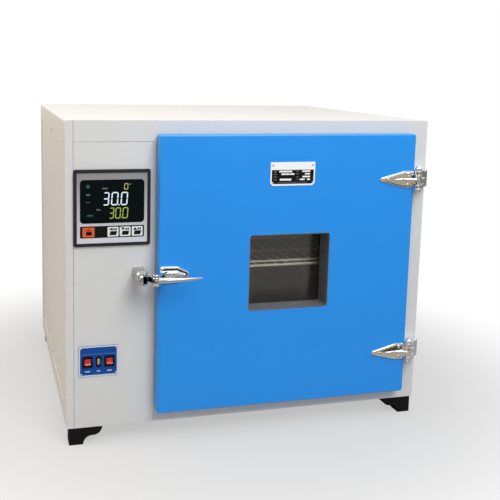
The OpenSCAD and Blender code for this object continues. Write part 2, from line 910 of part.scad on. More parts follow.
// Centrifugal wheel: back disc with a hub, curved blades and a front ring
module fan_impeller() {
    color(stainless) at_case() translate([impeller_x0, fan_y, fan_z]) rotate([0, 90, 0]) {
        difference() {
            union() {
                cylinder(r = impeller_d / 2, h = disc_t);
                cylinder(r = hub_r, h = hub_l);
            }
            translate([0, 0, -1]) cylinder(r = shaft_d / 2 + pin_play, h = hub_l + 2);
        }
        translate([0, 0, disc_t - SMALL]) linear_extrude(blade_w + 2 * SMALL)
            for (i = [0 : blade_count - 1]) {
                rotate(i * 360 / blade_count) blade_outline();
            }
        translate([0, 0, disc_t + blade_w]) difference() {
            cylinder(r = impeller_d / 2, h = disc_t);
            translate([0, 0, -1]) cylinder(r = impeller_d * 0.36, h = disc_t + 2);
        }
    }
}

// Finned block on the partition that switches the heater
module relay_unit() {
    plate_t = 5;
    fin_t = 2;
    fin_count = 8;
    fin_pitch = (relay_l - fin_t - 4) / (fin_count - 1);
    color(dark_grey) at_case() translate([partition_x, relay_y, relay_z]) {
        translate([-plate_t, 0, 0]) cube([plate_t, relay_l, relay_h]);
        for (i = [0 : fin_count - 1]) {
            translate([-plate_t - relay_fin + 1, 2 + i * fin_pitch, 0])
                cube([relay_fin, fin_t, relay_h]);
        }
    }
}

// Bracket foot seen from the front: a quarter round, a short flat, a cove and the toe
module foot_outline() {
    round_r = foot_h / 2;
    cove_r = foot_h - round_r;
    translate([0, -round_r]) square([foot_w - round_r, round_r]);
    intersection() {
        translate([foot_w - round_r, 0]) circle(round_r);
        translate([0, -round_r]) square([foot_w, round_r]);
    }
    difference() {
        translate([0, -foot_h]) square([foot_toe_w + cove_r, cove_r]);
        translate([foot_toe_w + cove_r, -foot_h]) circle(cove_r);
    }
}

// A left and a right foot, their front at y0
module feet(y0) {
    color(black) at_case() {
        translate([foot_inset, 0, 0]) upright(y0, foot_d) foot_outline();
        translate([casing_w - foot_inset, 0, 0]) upright(y0, foot_d) mirror([1, 0]) foot_outline();
    }
}

module front_feet() {
    feet(0);
}

module rear_feet() {
    feet(casing_d - foot_d);
}

// Dark rim of the controller, chamfered round its front
module controller_bezel() {
    color(dark_grey) at_case() translate([bezel_x, 0, bezel_z]) difference() {
        union() {
            upright(-bezel_out + 1, bezel_out - 1) rounded(bezel_s, bezel_s, 4);
            upright(-bezel_out, 1.5) translate([1, 1]) rounded(bezel_s - 2, bezel_s - 2, 3);
        }
        upright(-bezel_out - 1, bezel_out + 2) translate([bezel_rim, bezel_rim])
            square([bezel_s - 2 * bezel_rim, bezel_s - 2 * bezel_rim]);
    }
}

// Openings of the display and the key strip in the controller's face
module display_outline(gap) {
    translate([strip_x - gap, display_up - gap])
        rounded(display_w + 2 * gap, display_h + 2 * gap, 7 + gap);
}

module strip_outline(gap) {
    translate([strip_x - gap, strip_up - gap])
        rounded(display_w + 2 * gap, strip_h + 2 * gap, 2 + gap);
}

// Silver face of the controller
module controller_face() {
    inset = bezel_rim;
    color(steel_grey) at_case() translate([bezel_x, 0, bezel_z])
        upright(-face_t, face_t) difference() {
            translate([inset, inset]) square([bezel_s - 2 * inset, bezel_s - 2 * inset]);
            display_outline(pin_play);
            strip_outline(pin_play);
        }
}

// Closed box behind the controller, with ventilation slots along its top
module controller_housing() {
    edge = bezel_rim + play;
    s = bezel_s - 2 * edge;
    color(black) at_case() translate([bezel_x + edge, 0, bezel_z + edge]) difference() {
        cube([s, housing_d, s]);
        for (i = [0 : 5]) {
            translate([16, 18 + i * 8, s - 4]) cube([s - 32, 3, 5]);
        }
        translate([12, housing_d - 6, 20]) cube([s - 24, 7, 24]);
    }
}

module display_window() {
    color(black) at_case() translate([bezel_x, 0, bezel_z])
        upright(-face_t - 0.5, face_t + 0.5) display_outline(0);
}

// Left edge and width of each key, counted from the left
function key_x(i) = i == 0 ? power_key_x : last_key_x - (3 - i) * key_pitch;
function key_width(i) = i == 0 ? power_key_w : key_w;

module key_outline(i, gap) {
    translate([key_x(i) - gap, strip_up + (strip_h - key_h) / 2 - gap])
        rounded(key_width(i) + 2 * gap, key_h + 2 * gap, 1.5 + gap);
}

// Black strip that holds the four keys
module key_strip() {
    color(black) at_case() translate([bezel_x, 0, bezel_z])
        upright(-strip_t, strip_t) difference() {
            strip_outline(0);
            for (i = [0 : 3]) {
                key_outline(i, play);
            }
        }
}

// A key in its hole, with a dished face and room behind it for its travel
module key(i) {
    back = key_travel + 0.4;
    dish_r = 60;
    at_case() translate([bezel_x, 0, bezel_z]) difference() {
        upright(-strip_t - key_out, strip_t + key_out - back) key_outline(i, 0);
        translate([key_x(i) + key_width(i) / 2, -strip_t - key_out - dish_r,
                   strip_up + strip_h / 2])
            cylinder(r = dish_r + 0.3, h = key_h - 4, center = true);
    }
}

module power_key() {
    color([0.93, 0.38, 0.12]) key(0);
}

module set_key() {
    color([0.95, 0.95, 0.93]) key(1);
}

module shift_key() {
    color([0.95, 0.95, 0.93]) key(2);
}

module adjust_key() {
    color([0.95, 0.95, 0.93]) key(3);
}

// Blue plate that carries the switches and the lamp
module switch_plate() {
    color(door_blue) at_case() upright(-plate_t, plate_t) difference() {
        translate([plate_x, plate_z]) rounded(plate_w, plate_h, 1.5);
        switch_holes(play);
    }
}

// Body of one switch: bezel on the plate, box behind it and the well for the rocker
module switch_body(i) {
    translate([switch_x(i), 0, switch_z()]) difference() {
        union() {
            upright(-plate_t - switch_rim_t, switch_rim_t) rounded_c(switch_w, switch_h, 2);
            upright(-plate_t, plate_t + switch_d) rounded_c(switch_w - 2, switch_h - 2, 1);
        }
        upright(-plate_t - switch_rim_t - 1, switch_rim_t + 1 + well_d)
            square([well_w, well_h], center = true);
    }
}

module switch_bodies() {
    color(black) at_case() {
        switch_body(0);
        switch_body(1);
        translate([switch_x(0.5), 0, switch_z()]) {
            upright(-plate_t - 1.5, 1.5) rounded_c(10.5, switch_h, 4.5);
            rod_y(-plate_t - 0.5, plate_t + 16, lamp_shank_r);
        }
    }
}

// Rocker seen from the side (x forward, y up), level; its pivot is the origin
module rocker_outline() {
    half = well_h / 2 - 1;
    face = switch_rim_t + 1.6;
    polygon([[face, -half], [face - 1.3, 0], [face, half], [0.5, half - 0.2],
             [-4, 3], [-4, -3], [0.5, -half + 0.2]]);
}

// Rocker of a switch, pressed in at its top
module rocker(i) {
    w = well_w - 2 * play;
    color([0.85, 0.10, 0.08]) at_case()
        translate([switch_x(i) - w / 2, -rocker_out, switch_z()])
        rotate([-rocker_swing / 2, 0, 0]) sideways(0, w) mirror([1, 0]) rocker_outline();
}

module left_rocker() {
    rocker(0);
}

module right_rocker() {
    rocker(1);
}

// Lens of the lamp between the switches
module indicator_lamp() {
    color([0.85, 0.72, 0.50]) at_case() translate([switch_x(0.5), 0, switch_z()])
        upright(-plate_t - 3, 1.5) rounded_c(6.5, switch_h - 5, 3);
}

// Chrome keeper on the front panel: base, two rounded ears and the roller between them
module latch_keeper() {
    ear_in = slot_h / 2 + 0.5;
    half = ear_in + ear_t;
    base_w = 26;
    ear_r = 11;
    block_out = 34;
    shank_r = roller_d / 2 - 1.5;
    color(chrome) at_case() translate([roller_x, 0, latch_z]) {
        upright(-4, 4) rounded_c(base_w, 2 * half + 2, 6);
        for (z = [-half, ear_in]) {
            translate([0, 0, z]) linear_extrude(ear_t) {
                polygon([[-base_w / 2 + 2, -4], [base_w / 2 - 2, -4],
                         [ear_r - 0.5, -roller_out_y + 3], [-ear_r + 0.5, -roller_out_y + 3]]);
                translate([0, -roller_out_y]) circle(ear_r);
            }
        }
        translate([-ear_r + 1, -block_out, -ear_in]) cube([ear_r + 1, block_out - 3, 2 * ear_in]);
        translate([0, -roller_out_y, -half - 1]) cylinder(r = shank_r, h = 2 * (half + 1));
        translate([0, -roller_out_y, -ear_in]) cylinder(r = roller_d / 2, h = 2 * ear_in);
    }
}

// Heights of the hinges
function hinge_z(i) = i == 0 ? door_z0 + hinge_low_up : door_z1 - hinge_high_down;

// Leaf on the casing: two knuckles on ears, a swelling that clears the door leaf, and its rib
module cabinet_leaf(i) {
    ear_z = knuckle_h / 2 + play;
    ear_h = (leaf_h - knuckle_h) / 2 - play;
    reach = casing_w - 2 - pin_x;
    wall = pin_out_x - 2;
    front = pin_y + 11;
    color(chrome) at_case() translate([pin_x, 0, hinge_z(i)]) difference() {
        union() {
            for (z = [-ear_z - ear_h, ear_z]) {
                translate([0, 0, z]) linear_extrude(ear_h) {
                    translate([0, pin_y]) circle(knuckle_r);
                    polygon([[0, pin_y - knuckle_r], [reach, -10], [reach, 0], [wall, 0],
                             [-1, pin_y + knuckle_r]]);
                }
            }
            translate([0, 0, -ear_z - ear_h]) linear_extrude(2 * (ear_z + ear_h))
                polygon([[knuckle_r + 4, front], [reach - 4, -16], [reach, -10], [reach, 0],
                         [wall, 0], [wall, -10]]);
            translate([0, 0, -rib_h / 2]) linear_extrude(rib_h)
                polygon([[knuckle_r + 4, front - 3.5], [reach - 3, -16], [knuckle_r + 4, -16]]);
        }
        translate([0, pin_y, -leaf_h]) cylinder(r = pin_d / 2 + pin_play, h = 2 * leaf_h);
    }
}

module upper_cabinet_leaf() {
    cabinet_leaf(1);
}

module lower_cabinet_leaf() {
    cabinet_leaf(0);
}

// Hinge pins with their domed ends
module hinge_pins() {
    color(chrome) at_case() for (i = [0, 1]) {
        translate([pin_x, pin_y, hinge_z(i)]) {
            cylinder(r = pin_d / 2, h = leaf_h + 2, center = true);
            for (end = [0, 1]) {
                mirror([0, 0, end]) translate([0, 0, leaf_h / 2]) intersection() {
                    translate([0, 0, dome_low]) sphere(dome_r);
                    cylinder(r = dome_r, h = dome_low + dome_r);
                }
            }
        }
    }
}

// Outline of the pointed strap, drawn in by inset
module strap_outline(inset) {
    tip_r = 4;
    corner_r = 3;
    shoulder_x = -27;
    root_x = -pin_out_x - 2;
    half = leaf_h / 2 - 1;
    hull() {
        translate([-leaf_l + tip_r, 0]) circle(tip_r - inset, $fn = 32);
        for (x = [shoulder_x, root_x - corner_r], z = [-half + corner_r, half - corner_r]) {
            translate([x, z]) circle(corner_r - inset, $fn = 32);
        }
    }
}

// Pointed strap leaf on the door: bevelled blade, raised rib and the middle knuckle
module door_leaf(i) {
    bevel = 1.6;
    rib_x = -leaf_l + 34;
    root_x = -pin_out_x - 2;
    web_x = root_x - 6;
    face = door_proud + leaf_t;
    color(chrome) at_case() translate([pin_x, 0, hinge_z(i)]) difference() {
        union() {
            hull() {
                upright(-face + bevel, leaf_t - bevel) strap_outline(0);
                upright(-face, bevel) strap_outline(bevel);
            }
            translate([0, 0, -knuckle_h / 2]) linear_extrude(knuckle_h) {
                translate([0, pin_y]) circle(knuckle_r);
                polygon([[0, pin_y - knuckle_r], [web_x, -face - 2], [web_x, -face + 0.5],
                         [root_x, -door_proud - play], [0, -door_proud - play]]);
            }
            translate([0, 0, -rib_h / 2]) linear_extrude(rib_h)
                polygon([[-5, pin_y - knuckle_r + 1.5], [web_x - 16, -face - 4.5],
                         [rib_x, -face], [rib_x, -face + 1], [-5, -face + 1]]);
        }
        translate([0, pin_y, -leaf_h]) cylinder(r = pin_d / 2 + pin_play, h = 2 * leaf_h);
    }
}

module upper_door_leaf() {
    door_leaf(1);
}

module lower_door_leaf() {
    door_leaf(0);
}

// Outline of the door seen from the front, drawn in by inset
module door_outline(inset) {
    translate([door_x0 + inset, door_z0 + inset])
        rounded(door_w - 2 * inset, door_h - 2 * inset, door_corner_r - inset);
}

// Blue shell of the door, open at the back, with softened edges and the window's hole
module door_skin() {
    color(door_blue) at_case() difference() {
        hull() {
            upright(-door_proud + door_edge_r, door_proud - door_edge_r - gasket_t) door_outline(0);
            upright(-door_proud + door_edge_r * 0.3, 1) door_outline(door_edge_r * 0.3);
            upright(-door_proud, 1) door_outline(door_edge_r);
        }
        upright(-door_proud + sheet_t, door_proud) door_outline(sheet_t);
        upright(-door_proud - 1, 4) window_outline(0);
    }
}

// Stainless inner panel: a flange in the shell's open back and the plug that enters the chamber
module door_inner_panel() {
    color(stainless) at_case() difference() {
        union() {
            upright(-gasket_t - liner_t, liner_t) door_outline(sheet_t + play);
            upright(-gasket_t - liner_t, plug_d + gasket_t + liner_t) plug_outline(0);
        }
        upright(-gasket_t - liner_t - 1, plug_d + gasket_t + 1) plug_outline(liner_t);
        upright(plug_d - liner_t - 1, liner_t + 2) window_outline(0);
    }
}

// Wool that fills the door's shell and plug round the window
module door_insulation() {
    color(wool) at_case() difference() {
        union() {
            upright(-door_proud + sheet_t, door_proud - sheet_t - gasket_t - liner_t)
                door_outline(sheet_t + play);
            upright(-gasket_t - liner_t - 1, plug_d + gasket_t + 1) plug_outline(liner_t + play);
        }
        upright(-door_proud, 2 * door_proud + plug_d) window_outline(pane_lap + play);
    }
}

// Silicone bead that seals the door against the front frame
module door_gasket() {
    color([0.75, 0.35, 0.25]) at_case() upright(-gasket_t, gasket_t - play) difference() {
        translate([door_cx, door_cz]) rounded_c(plug_w + 2 * (gasket_w + gasket_off),
            plug_h + 2 * (gasket_w + gasket_off), chamber_r + gasket_w + gasket_off);
        translate([door_cx, door_cz]) rounded_c(plug_w + 2 * gasket_off,
            plug_h + 2 * gasket_off, chamber_r + gasket_off);
    }
}

// Painted tunnel through the door, flanged outward where the outer pane rests on it
module window_frame() {
    color(dark_grey) at_case() difference() {
        union() {
            upright(-door_proud + 0.4, door_proud + outer_pane_y - 0.4) window_outline(-pin_play);
            upright(-door_proud + sheet_t, frame_wall) window_outline(pane_lap);
            upright(outer_pane_y - frame_wall, frame_wall) window_outline(pane_lap);
        }
        upright(-door_proud - 1, 2 * door_proud + plug_d) window_outline(-frame_wall);
    }
}

module outer_pane() {
    color([0.75, 0.85, 0.85, 0.4]) at_case() upright(outer_pane_y, pane_t)
        window_outline(pane_lap);
}

// Seal that holds the two panes apart
module pane_seal() {
    color(black) at_case() upright(pane_seal_y, pane_seal_t) difference() {
        window_outline(pane_lap);
        window_outline(1);
    }
}

module inner_pane() {
    color([0.75, 0.85, 0.85, 0.4]) at_case() upright(inner_pane_y, pane_t)
        window_outline(pane_lap);
}

// Blank nameplate with clipped lower corners
module nameplate() {
    clip = 5;
    color([0.88, 0.88, 0.88]) at_case()
        translate([door_cx - nameplate_w / 2, 0, door_z1 - nameplate_down - nameplate_h / 2])
        upright(-door_proud - nameplate_t, nameplate_t)
        polygon([[clip, 0], [nameplate_w - clip, 0], [nameplate_w, clip],
                 [nameplate_w, nameplate_h], [0, nameplate_h], [0, clip]]);
}

// Outline of the latch's base, wide at the door's edge, drawn in by inset
module base_outline(inset) {
    end_r = 7;
    corner_r = 5;
    x0 = door_x0 + 2 - lever_x;
    half = latch_base_h / 2 - corner_r;
    hull() {
        for (z = [-half, half]) {
            translate([x0 + corner_r, z]) circle(corner_r - inset, $fn = 32);
            translate([x0 + latch_base_l * 0.6, z * 0.9]) circle(corner_r - inset, $fn = 32);
        }
        translate([x0 + latch_base_l - end_r, 0]) circle(end_r - inset, $fn = 32);
    }
}

// Chrome base of the latch: domed body on the door, and two ears that hold the lever
module latch_base() {
    ear_in = slot_h / 2;
    x0 = door_x0 + 2 - lever_x;
    foot = -door_proud;
    ear_r = 8;
    color(chrome) at_case() translate([lever_x, 0, latch_z]) difference() {
        union() {
            hull() {
                upright(foot - latch_base_t * 0.4, latch_base_t * 0.4) base_outline(0);
                upright(foot - latch_base_t * 0.8, 1) base_outline(1.8);
                upright(foot - latch_base_t, 1) base_outline(4.2);
            }
            for (z = [-ear_in - ear_t, ear_in]) {
                translate([0, 0, z]) linear_extrude(ear_t) {
                    translate([0, lever_y]) circle(ear_r);
                    polygon([[x0 + 1, foot - 1], [x0 + 26, foot - 1], [x0 + 10, foot - 22],
                             [4, lever_y - 7], [-ear_r + 1, lever_y + 4]]);
                }
            }
        }
        translate([0, lever_y, -latch_base_h])
            cylinder(r = lever_pin_d / 2 + pin_play, h = 2 * latch_base_h);
    }
}

// Pin of the lever with a head at each end
module latch_pin() {
    half = slot_h / 2 + ear_t;
    color(chrome) at_case() translate([lever_x, lever_y, latch_z]) {
        translate([0, 0, -half - 1]) cylinder(r = lever_pin_d / 2, h = 2 * half + 2);
        for (z = [-half - 1.6, half]) {
            translate([0, 0, z]) cylinder(r = lever_pin_d / 2 + 1.5, h = 1.6);
        }
    }
}

// One cross-section of the lever, an upright ellipse at x with its centre out mm forward
module lever_section(x, out, depth, height) {
    translate([x, -out, 0]) scale([1, depth / height, 1]) rotate([0, 90, 0])
        cylinder(r = height / 2, h = 0.5, $fn = 32);
}

// Lever: boss on the pin, nose towards the keeper and the handle that tapers to a blade
module latch_lever() {
    boss_r = 7.5;
    tip_r = 1.5;
    mid_x = lever_l * 0.42;
    thin_x = lever_l * 0.8;
    color(chrome) at_case() translate([lever_x, lever_y, latch_z]) difference() {
        union() {
            translate([0, 0, -lever_h / 2]) cylinder(r = boss_r, h = lever_h);
            translate([0, 0, -lever_h / 2]) linear_extrude(lever_h) {
                polygon([[-boss_r + 0.5, 2], [boss_r - 0.5, 4], [nose_x + nose_r, nose_y],
                         [nose_x - nose_r, nose_y - 1]]);
                translate([nose_x, nose_y]) circle(nose_r);
            }
            hull() {
                lever_section(2, 0, 12, lever_h - 0.5);
                lever_section(mid_x, lever_bow, 2 * lever_half_t, lever_h - 2.2);
            }
            hull() {
                lever_section(mid_x, lever_bow, 2 * lever_half_t, lever_h - 2.2);
                lever_section(thin_x, lever_bow - 2, 6, lever_h - 6);
            }
            hull() {
                lever_section(thin_x, lever_bow - 2, 6, lever_h - 6);
                translate([lever_l - tip_r, 0, 0]) sphere(tip_r, $fn = 32);
            }
        }
        translate([0, 0, -lever_h]) cylinder(r = lever_pin_d / 2 + pin_play, h = 2 * lever_h);
    }
}

// Screws of the door: three in each hinge leaf, one in the latch, four nameplate rivets
module door_screws() {
    color(stainless) at_case() {
        for (i = [0, 1]) {
            translate([pin_x, -door_proud - leaf_t, hinge_z(i)]) {
                for (z = [-11, 11]) {
                    translate([-19, 0, z]) screw_front(6.5, 2);
                }
                translate([-leaf_l + 18, 0, 0]) screw_front(5.5, 1.6);
            }
        }
        translate([door_x0 + latch_base_l - 10, -door_proud - latch_base_t, latch_z])
            screw_front(6, 1.6);
        for (dx = [-1, 1], dz = [-1, 1]) {
            translate([door_cx + dx * (nameplate_w / 2 - 5), -door_proud - nameplate_t,
                       door_z1 - nameplate_down + dz * (nameplate_h / 2 - 6)])
                screw_front(3.4, 1.2);
        }
    }
}

// Screws of the casing: hinges, switch plate, side cover, back panel and exhaust flange
module cabinet_screws() {
    edge = 20;
    back = concat(
        [for (x = [edge, casing_w - edge], z = [3 * edge, casing_h / 2, casing_h - 1.5 * edge])
            [x, z]],
        [for (z = [0.8 * edge, casing_h - 0.8 * edge]) [casing_w / 2, z]]);
    color(stainless) at_case() {
        for (x = [plate_x + 4, plate_x + plate_w - 4], z = [plate_z + 4, plate_z + plate_h - 4]) {
            translate([x, -plate_t, z]) screw_front(4, 1.4);
        }
        for (y = [side_border + 8, casing_d / 2, casing_d - side_border - 8],
             z = [side_border + 8, casing_h - side_border - 8]) {
            translate([sheet_t, y, z]) rotate([0, 0, -90]) screw_front(7, sheet_t - 0.2);
        }
        for (p = back) {
            translate([p[0], casing_d, p[1]]) rotate([0, 0, 180]) screw_front(7, 2);
        }
        for (a = [45 : 90 : 315]) {
            translate([port_x, casing_d + 2, port_z]) rotate([0, a, 0])
                translate([port_r + port_wall + 8, 0, 0]) rotate([0, 0, 180]) screw_front(5, 2);
        }
    }
}

// Tube from the chamber to the outside: flange, hose spigot and the bores of the damper's spindle
module exhaust_port() {
    l = casing_d + port_out - chamber_y1;
    color(stainless) at_case() translate([port_x, 0, port_z]) difference() {
        union() {
            rod_y(chamber_y1, l, port_r + port_wall);
            rod_y(casing_d, 2, port_r + port_wall + 15);
            rod_y(casing_d + port_out - spigot_l, spigot_l, port_r + port_wall + spigot_t);
        }
        rod_y(chamber_y1 - 1, l + 2, port_r);
        translate([0, damper_y, 0]) rod_x(-port_r - port_wall - 5, 2 * (port_r + port_wall + 5),
                                          spindle_r + pin_play);
    }
}

// Butterfly disc on a spindle with a ribbed knob outside the tube
module exhaust_damper() {
    knob_x = port_r + port_wall + 1.5;
    knob_l = 12;
    color(stainless) at_case() translate([port_x, damper_y, port_z]) {
        rod_y(-0.8, 1.6, port_r - 0.6);
        rod_x(-port_r - port_wall - 2, port_r + port_wall + 2 + knob_x + 1, spindle_r);
        difference() {
            rod_x(knob_x, knob_l, 9);
            for (a = [0 : 30 : 330]) {
                rotate([a, 0, 0]) translate([0, 9.6, 0]) rod_x(knob_x + 2, knob_l, 1.4);
            }
        }
    }
}

// Gland that the supply cord would pass: hexagon outside, shank through the panel, nut inside
module cable_gland() {
    color(black) at_case() translate([gland_x, casing_d, gland_z]) difference() {
        union() {
            rotate([-90, 0, 0]) cylinder(r = 13, h = 6, $fn = 6);
            rod_y(5, 7, 9.5);
            translate([0, 12, 0]) rotate([-90, 0, 0]) cylinder(r1 = 9.5, r2 = 7, h = 5);
            rod_y(-14, 15, gland_shank_r);
            translate([0, -sheet_t - 5, 0]) rotate([-90, 0, 0]) cylinder(r = 12, h = 5, $fn = 6);
        }
        rod_y(-15, 34, gland_r);
    }
}

outer_casing();
side_cover();
front_frame();
control_panel();
base_pan();
back_panel();
partition();
chamber_insulation();
chamber_liner();
duct_baffle();
runner_left();
runner_right();
upper_shelf();
lower_shelf();
heater();
temperature_probe();
fan_motor();
motor_bracket();
fan_shaft();
fan_impeller();
front_feet();
rear_feet();
controller_bezel();
controller_face();
controller_housing();
display_window();
key_strip();
power_key();
set_key();
shift_key();
adjust_key();
switch_plate();
switch_bodies();
left_rocker();
right_rocker();
indicator_lamp();
latch_keeper();
cabinet_screws();
upper_cabinet_leaf();
lower_cabinet_leaf();
hinge_pins();
door_skin();
door_inner_panel();
door_insulation();
door_gasket();
window_frame();
outer_pane();
pane_seal();
inner_pane();
nameplate();
upper_door_leaf();
lower_door_leaf();
latch_base();
latch_pin();
door_screws();
latch_lever();
exhaust_port();
exhaust_damper();
cable_gland();
relay_unit();
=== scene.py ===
# %% [markdown]
# # A forced-air drying oven, dressed for the camera
#
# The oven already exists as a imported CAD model: every sheet, screw and shaft has its real
# size and its place. This script loads that model as a fixed frame and adds what a CAD
# solid lacks: paint, polished castings, brushed steel, a lit display and a studio to stand
# in. Nothing of the CAD is moved. Lengths are in metres, and the oven's front faces -Y.

import json
import math

import bmesh
import bpy
from mathutils import Matrix, Vector


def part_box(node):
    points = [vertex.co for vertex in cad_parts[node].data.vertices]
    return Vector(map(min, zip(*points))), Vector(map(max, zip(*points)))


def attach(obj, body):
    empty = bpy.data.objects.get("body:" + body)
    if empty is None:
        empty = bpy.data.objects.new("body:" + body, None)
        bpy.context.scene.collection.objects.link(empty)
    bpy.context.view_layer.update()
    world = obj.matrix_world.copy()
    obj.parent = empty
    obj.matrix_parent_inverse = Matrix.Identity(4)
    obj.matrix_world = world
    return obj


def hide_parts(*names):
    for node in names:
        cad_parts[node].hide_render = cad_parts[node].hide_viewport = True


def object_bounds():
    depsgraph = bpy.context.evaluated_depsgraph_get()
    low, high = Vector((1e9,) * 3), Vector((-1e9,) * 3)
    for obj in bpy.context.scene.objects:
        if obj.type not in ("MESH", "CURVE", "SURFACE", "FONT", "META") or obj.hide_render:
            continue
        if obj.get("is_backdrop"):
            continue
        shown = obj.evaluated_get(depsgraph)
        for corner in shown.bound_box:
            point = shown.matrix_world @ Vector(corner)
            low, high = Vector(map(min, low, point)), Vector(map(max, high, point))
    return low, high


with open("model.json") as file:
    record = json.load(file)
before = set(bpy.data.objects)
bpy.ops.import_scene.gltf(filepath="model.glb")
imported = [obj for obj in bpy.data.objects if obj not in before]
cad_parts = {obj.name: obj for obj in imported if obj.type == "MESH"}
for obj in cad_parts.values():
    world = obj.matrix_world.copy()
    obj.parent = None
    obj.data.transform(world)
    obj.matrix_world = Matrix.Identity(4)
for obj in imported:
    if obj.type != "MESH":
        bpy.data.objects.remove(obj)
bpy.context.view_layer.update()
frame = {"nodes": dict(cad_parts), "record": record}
nodes = frame["nodes"]
MM = 0.001

# %% [markdown]
# A designer measures this oven from the left side of its casing, back from its front panel
# and up from its underside. The helpers below turn such millimetres into the frame's metres
# and back, reading the corner from the casing itself, so nothing has to be fitted by eye.

# %% Measure from the casing's corner
casing_low, casing_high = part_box("outer_casing")


def at_casing(x, y, z):
    """Frame point of a place in the casing's own millimetres."""
    return Vector((casing_low.x + x * MM, casing_low.y + y * MM, casing_low.z + z * MM))


def in_casing(point):
    """A frame point in the casing's millimetres."""
    return (point - casing_low) / MM


def casing_box(node):
    """A node's lowest and highest corners in the casing's millimetres."""
    low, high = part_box(node)
    return in_casing(low), in_casing(high)


casing_size = in_casing(casing_high)
print("casing:", round(casing_size.x), "mm wide,", round(casing_size.z), "mm high")

# %% [markdown]
# ## Camera
#
# The photograph was taken from the left and from a little above the oven. Its camera was
# found by matching the casing's corners, and it is written here as a place, three angles
# and a focal length. The picture seems to be cropped off its optical axis, which a lens
# shift repeats; without the shift, the uprights would lean the wrong way.

# %% Place the camera
CAMERA_PLACE = Vector((-0.5103, -1.7648, 0.7229))
CAMERA_YAW = math.radians(15.18)
CAMERA_PITCH = math.radians(-8.21)
CAMERA_ROLL = math.radians(1.09)
PICTURE_SIDE = 500
FOCAL_PIXELS = 796.9
SENSOR_WIDTH = 36
SHIFT_X = 0.10
SHIFT_Y = -0.13

forward = Vector((math.sin(CAMERA_YAW) * math.cos(CAMERA_PITCH),
                  math.cos(CAMERA_YAW) * math.cos(CAMERA_PITCH),
                  math.sin(CAMERA_PITCH)))
level_right = Vector((math.cos(CAMERA_YAW), -math.sin(CAMERA_YAW), 0))
level_up = level_right.cross(forward)
right = math.cos(CAMERA_ROLL) * level_right + math.sin(CAMERA_ROLL) * level_up
up = right.cross(forward)

camera_data = bpy.data.cameras.new("camera")
camera_data.sensor_width = SENSOR_WIDTH
camera_data.lens = FOCAL_PIXELS / PICTURE_SIDE * SENSOR_WIDTH
camera_data.shift_x = SHIFT_X
camera_data.shift_y = SHIFT_Y
camera = bpy.data.objects.new("camera", camera_data)
turn = Matrix((right, up, -forward)).transposed().to_4x4()
camera.matrix_world = Matrix.Translation(CAMERA_PLACE) @ turn
bpy.context.scene.collection.objects.link(camera)
bpy.context.scene.camera = camera
print("lens:", round(camera_data.lens, 1), "mm")

# %% [markdown]
# ## Nodes in a few words
#
# Every surface here is a small graph of shader nodes. Written out link by link, a graph
# hides its idea, so these helpers make and feed a node in one line: an input takes either a
# plain value or the output of another node.

# %% Make and feed nodes


def feed(tree, socket, source):
    """Links an input to another node's output, or sets it to a plain value."""
    if isinstance(source, bpy.types.NodeSocket):
        tree.links.new(source, socket)
    else:
        socket.default_value = source


def fill(tree, node, **sources):
    """Feeds a node's inputs by their names."""
    for name, source in sources.items():
        feed(tree, node.inputs[name.replace("_", " ")], source)


def node_in(tree, kind, *sources, **values):
    """A new node: keywords are its properties or inputs, plain sources its inputs in order."""
    node = tree.nodes.new("ShaderNode" + kind)
    for name, value in values.items():
        if hasattr(node, name):
            setattr(node, name, value)
        else:
            fill(tree, node, **{name: value})
    for socket, source in zip(node.inputs, sources):
        feed(tree, socket, source)
    return node


def math_in(tree, operation, *sources, **values):
    """The result of a maths node."""
    return node_in(tree, "Math", *sources, operation=operation, **values).outputs[0]


def range_in(tree, source, **values):
    """A value carried over from one range to another."""
    return node_in(tree, "MapRange", source, **values).outputs["Result"]


def noise_in(tree, place, scale, detail, roughness=0.5):
    """A soft noise at a place."""
    noise = node_in(tree, "TexNoise", Vector=place, Scale=scale, Detail=detail, Roughness=roughness)
    return noise.outputs["Fac"]


def place_in(tree):
    """The place on the piece, in metres."""
    return node_in(tree, "TexCoord").outputs["Object"]


# %% [markdown]
# ## Studio
#
# A catalogue picture stands its object on white. The floor is real, so that the feet cast
# a soft shadow, but away from the oven it fades into plain white for the camera's own rays.
# The world does the same: rays from the camera, from a mirror or through glass see white,
# while the light that it sheds is lower, so that pale paint doesn't burn out.

# %% Build the floor and the world
scene = bpy.context.scene
scene.view_settings.view_transform = "Standard"
WHITE = (1, 1, 1, 1)
FLOOR_GREY = (0.44, 0.44, 0.44, 1)
WORLD_LIGHT = 0.41
FLOOR_SIDE = 28
SHADOW_REACH = 0.45
FADE_REACH = 1.0
LEAST_FADE = 0.5


def bare_material(name):
    """A material and its empty tree, for the studio's own surfaces."""
    material = bpy.data.materials.new(name)
    material.use_nodes = True
    material.node_tree.nodes.clear()
    return material, material.node_tree


def studio_sheet(name, width, depth, material):
    """A flat rectangle that belongs to the studio and not to the oven."""
    mesh = bpy.data.meshes.new(name)
    corners = [(-1, -1), (1, -1), (1, 1), (-1, 1)]
    mesh.from_pydata([(x * width / 2, y * depth / 2, 0) for x, y in corners], [], [(0, 1, 2, 3)])
    mesh.materials.append(material)
    sheet = bpy.data.objects.new(name, mesh)
    scene.collection.objects.link(sheet)
    sheet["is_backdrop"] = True
    return sheet


world = bpy.data.worlds.new("white_studio")
world.use_nodes = True
tree = world.node_tree
tree.nodes.clear()
path = node_in(tree, "LightPath").outputs
seen = math_in(tree, "MAXIMUM", path["Is Camera Ray"], path["Is Glossy Ray"])
seen = math_in(tree, "MAXIMUM", seen, path["Is Transmission Ray"])
level = range_in(tree, seen, To_Min=WORLD_LIGHT, To_Max=1)
background = node_in(tree, "Background", Color=WHITE, Strength=level)
node_in(tree, "OutputWorld", background.outputs[0])
scene.world = world

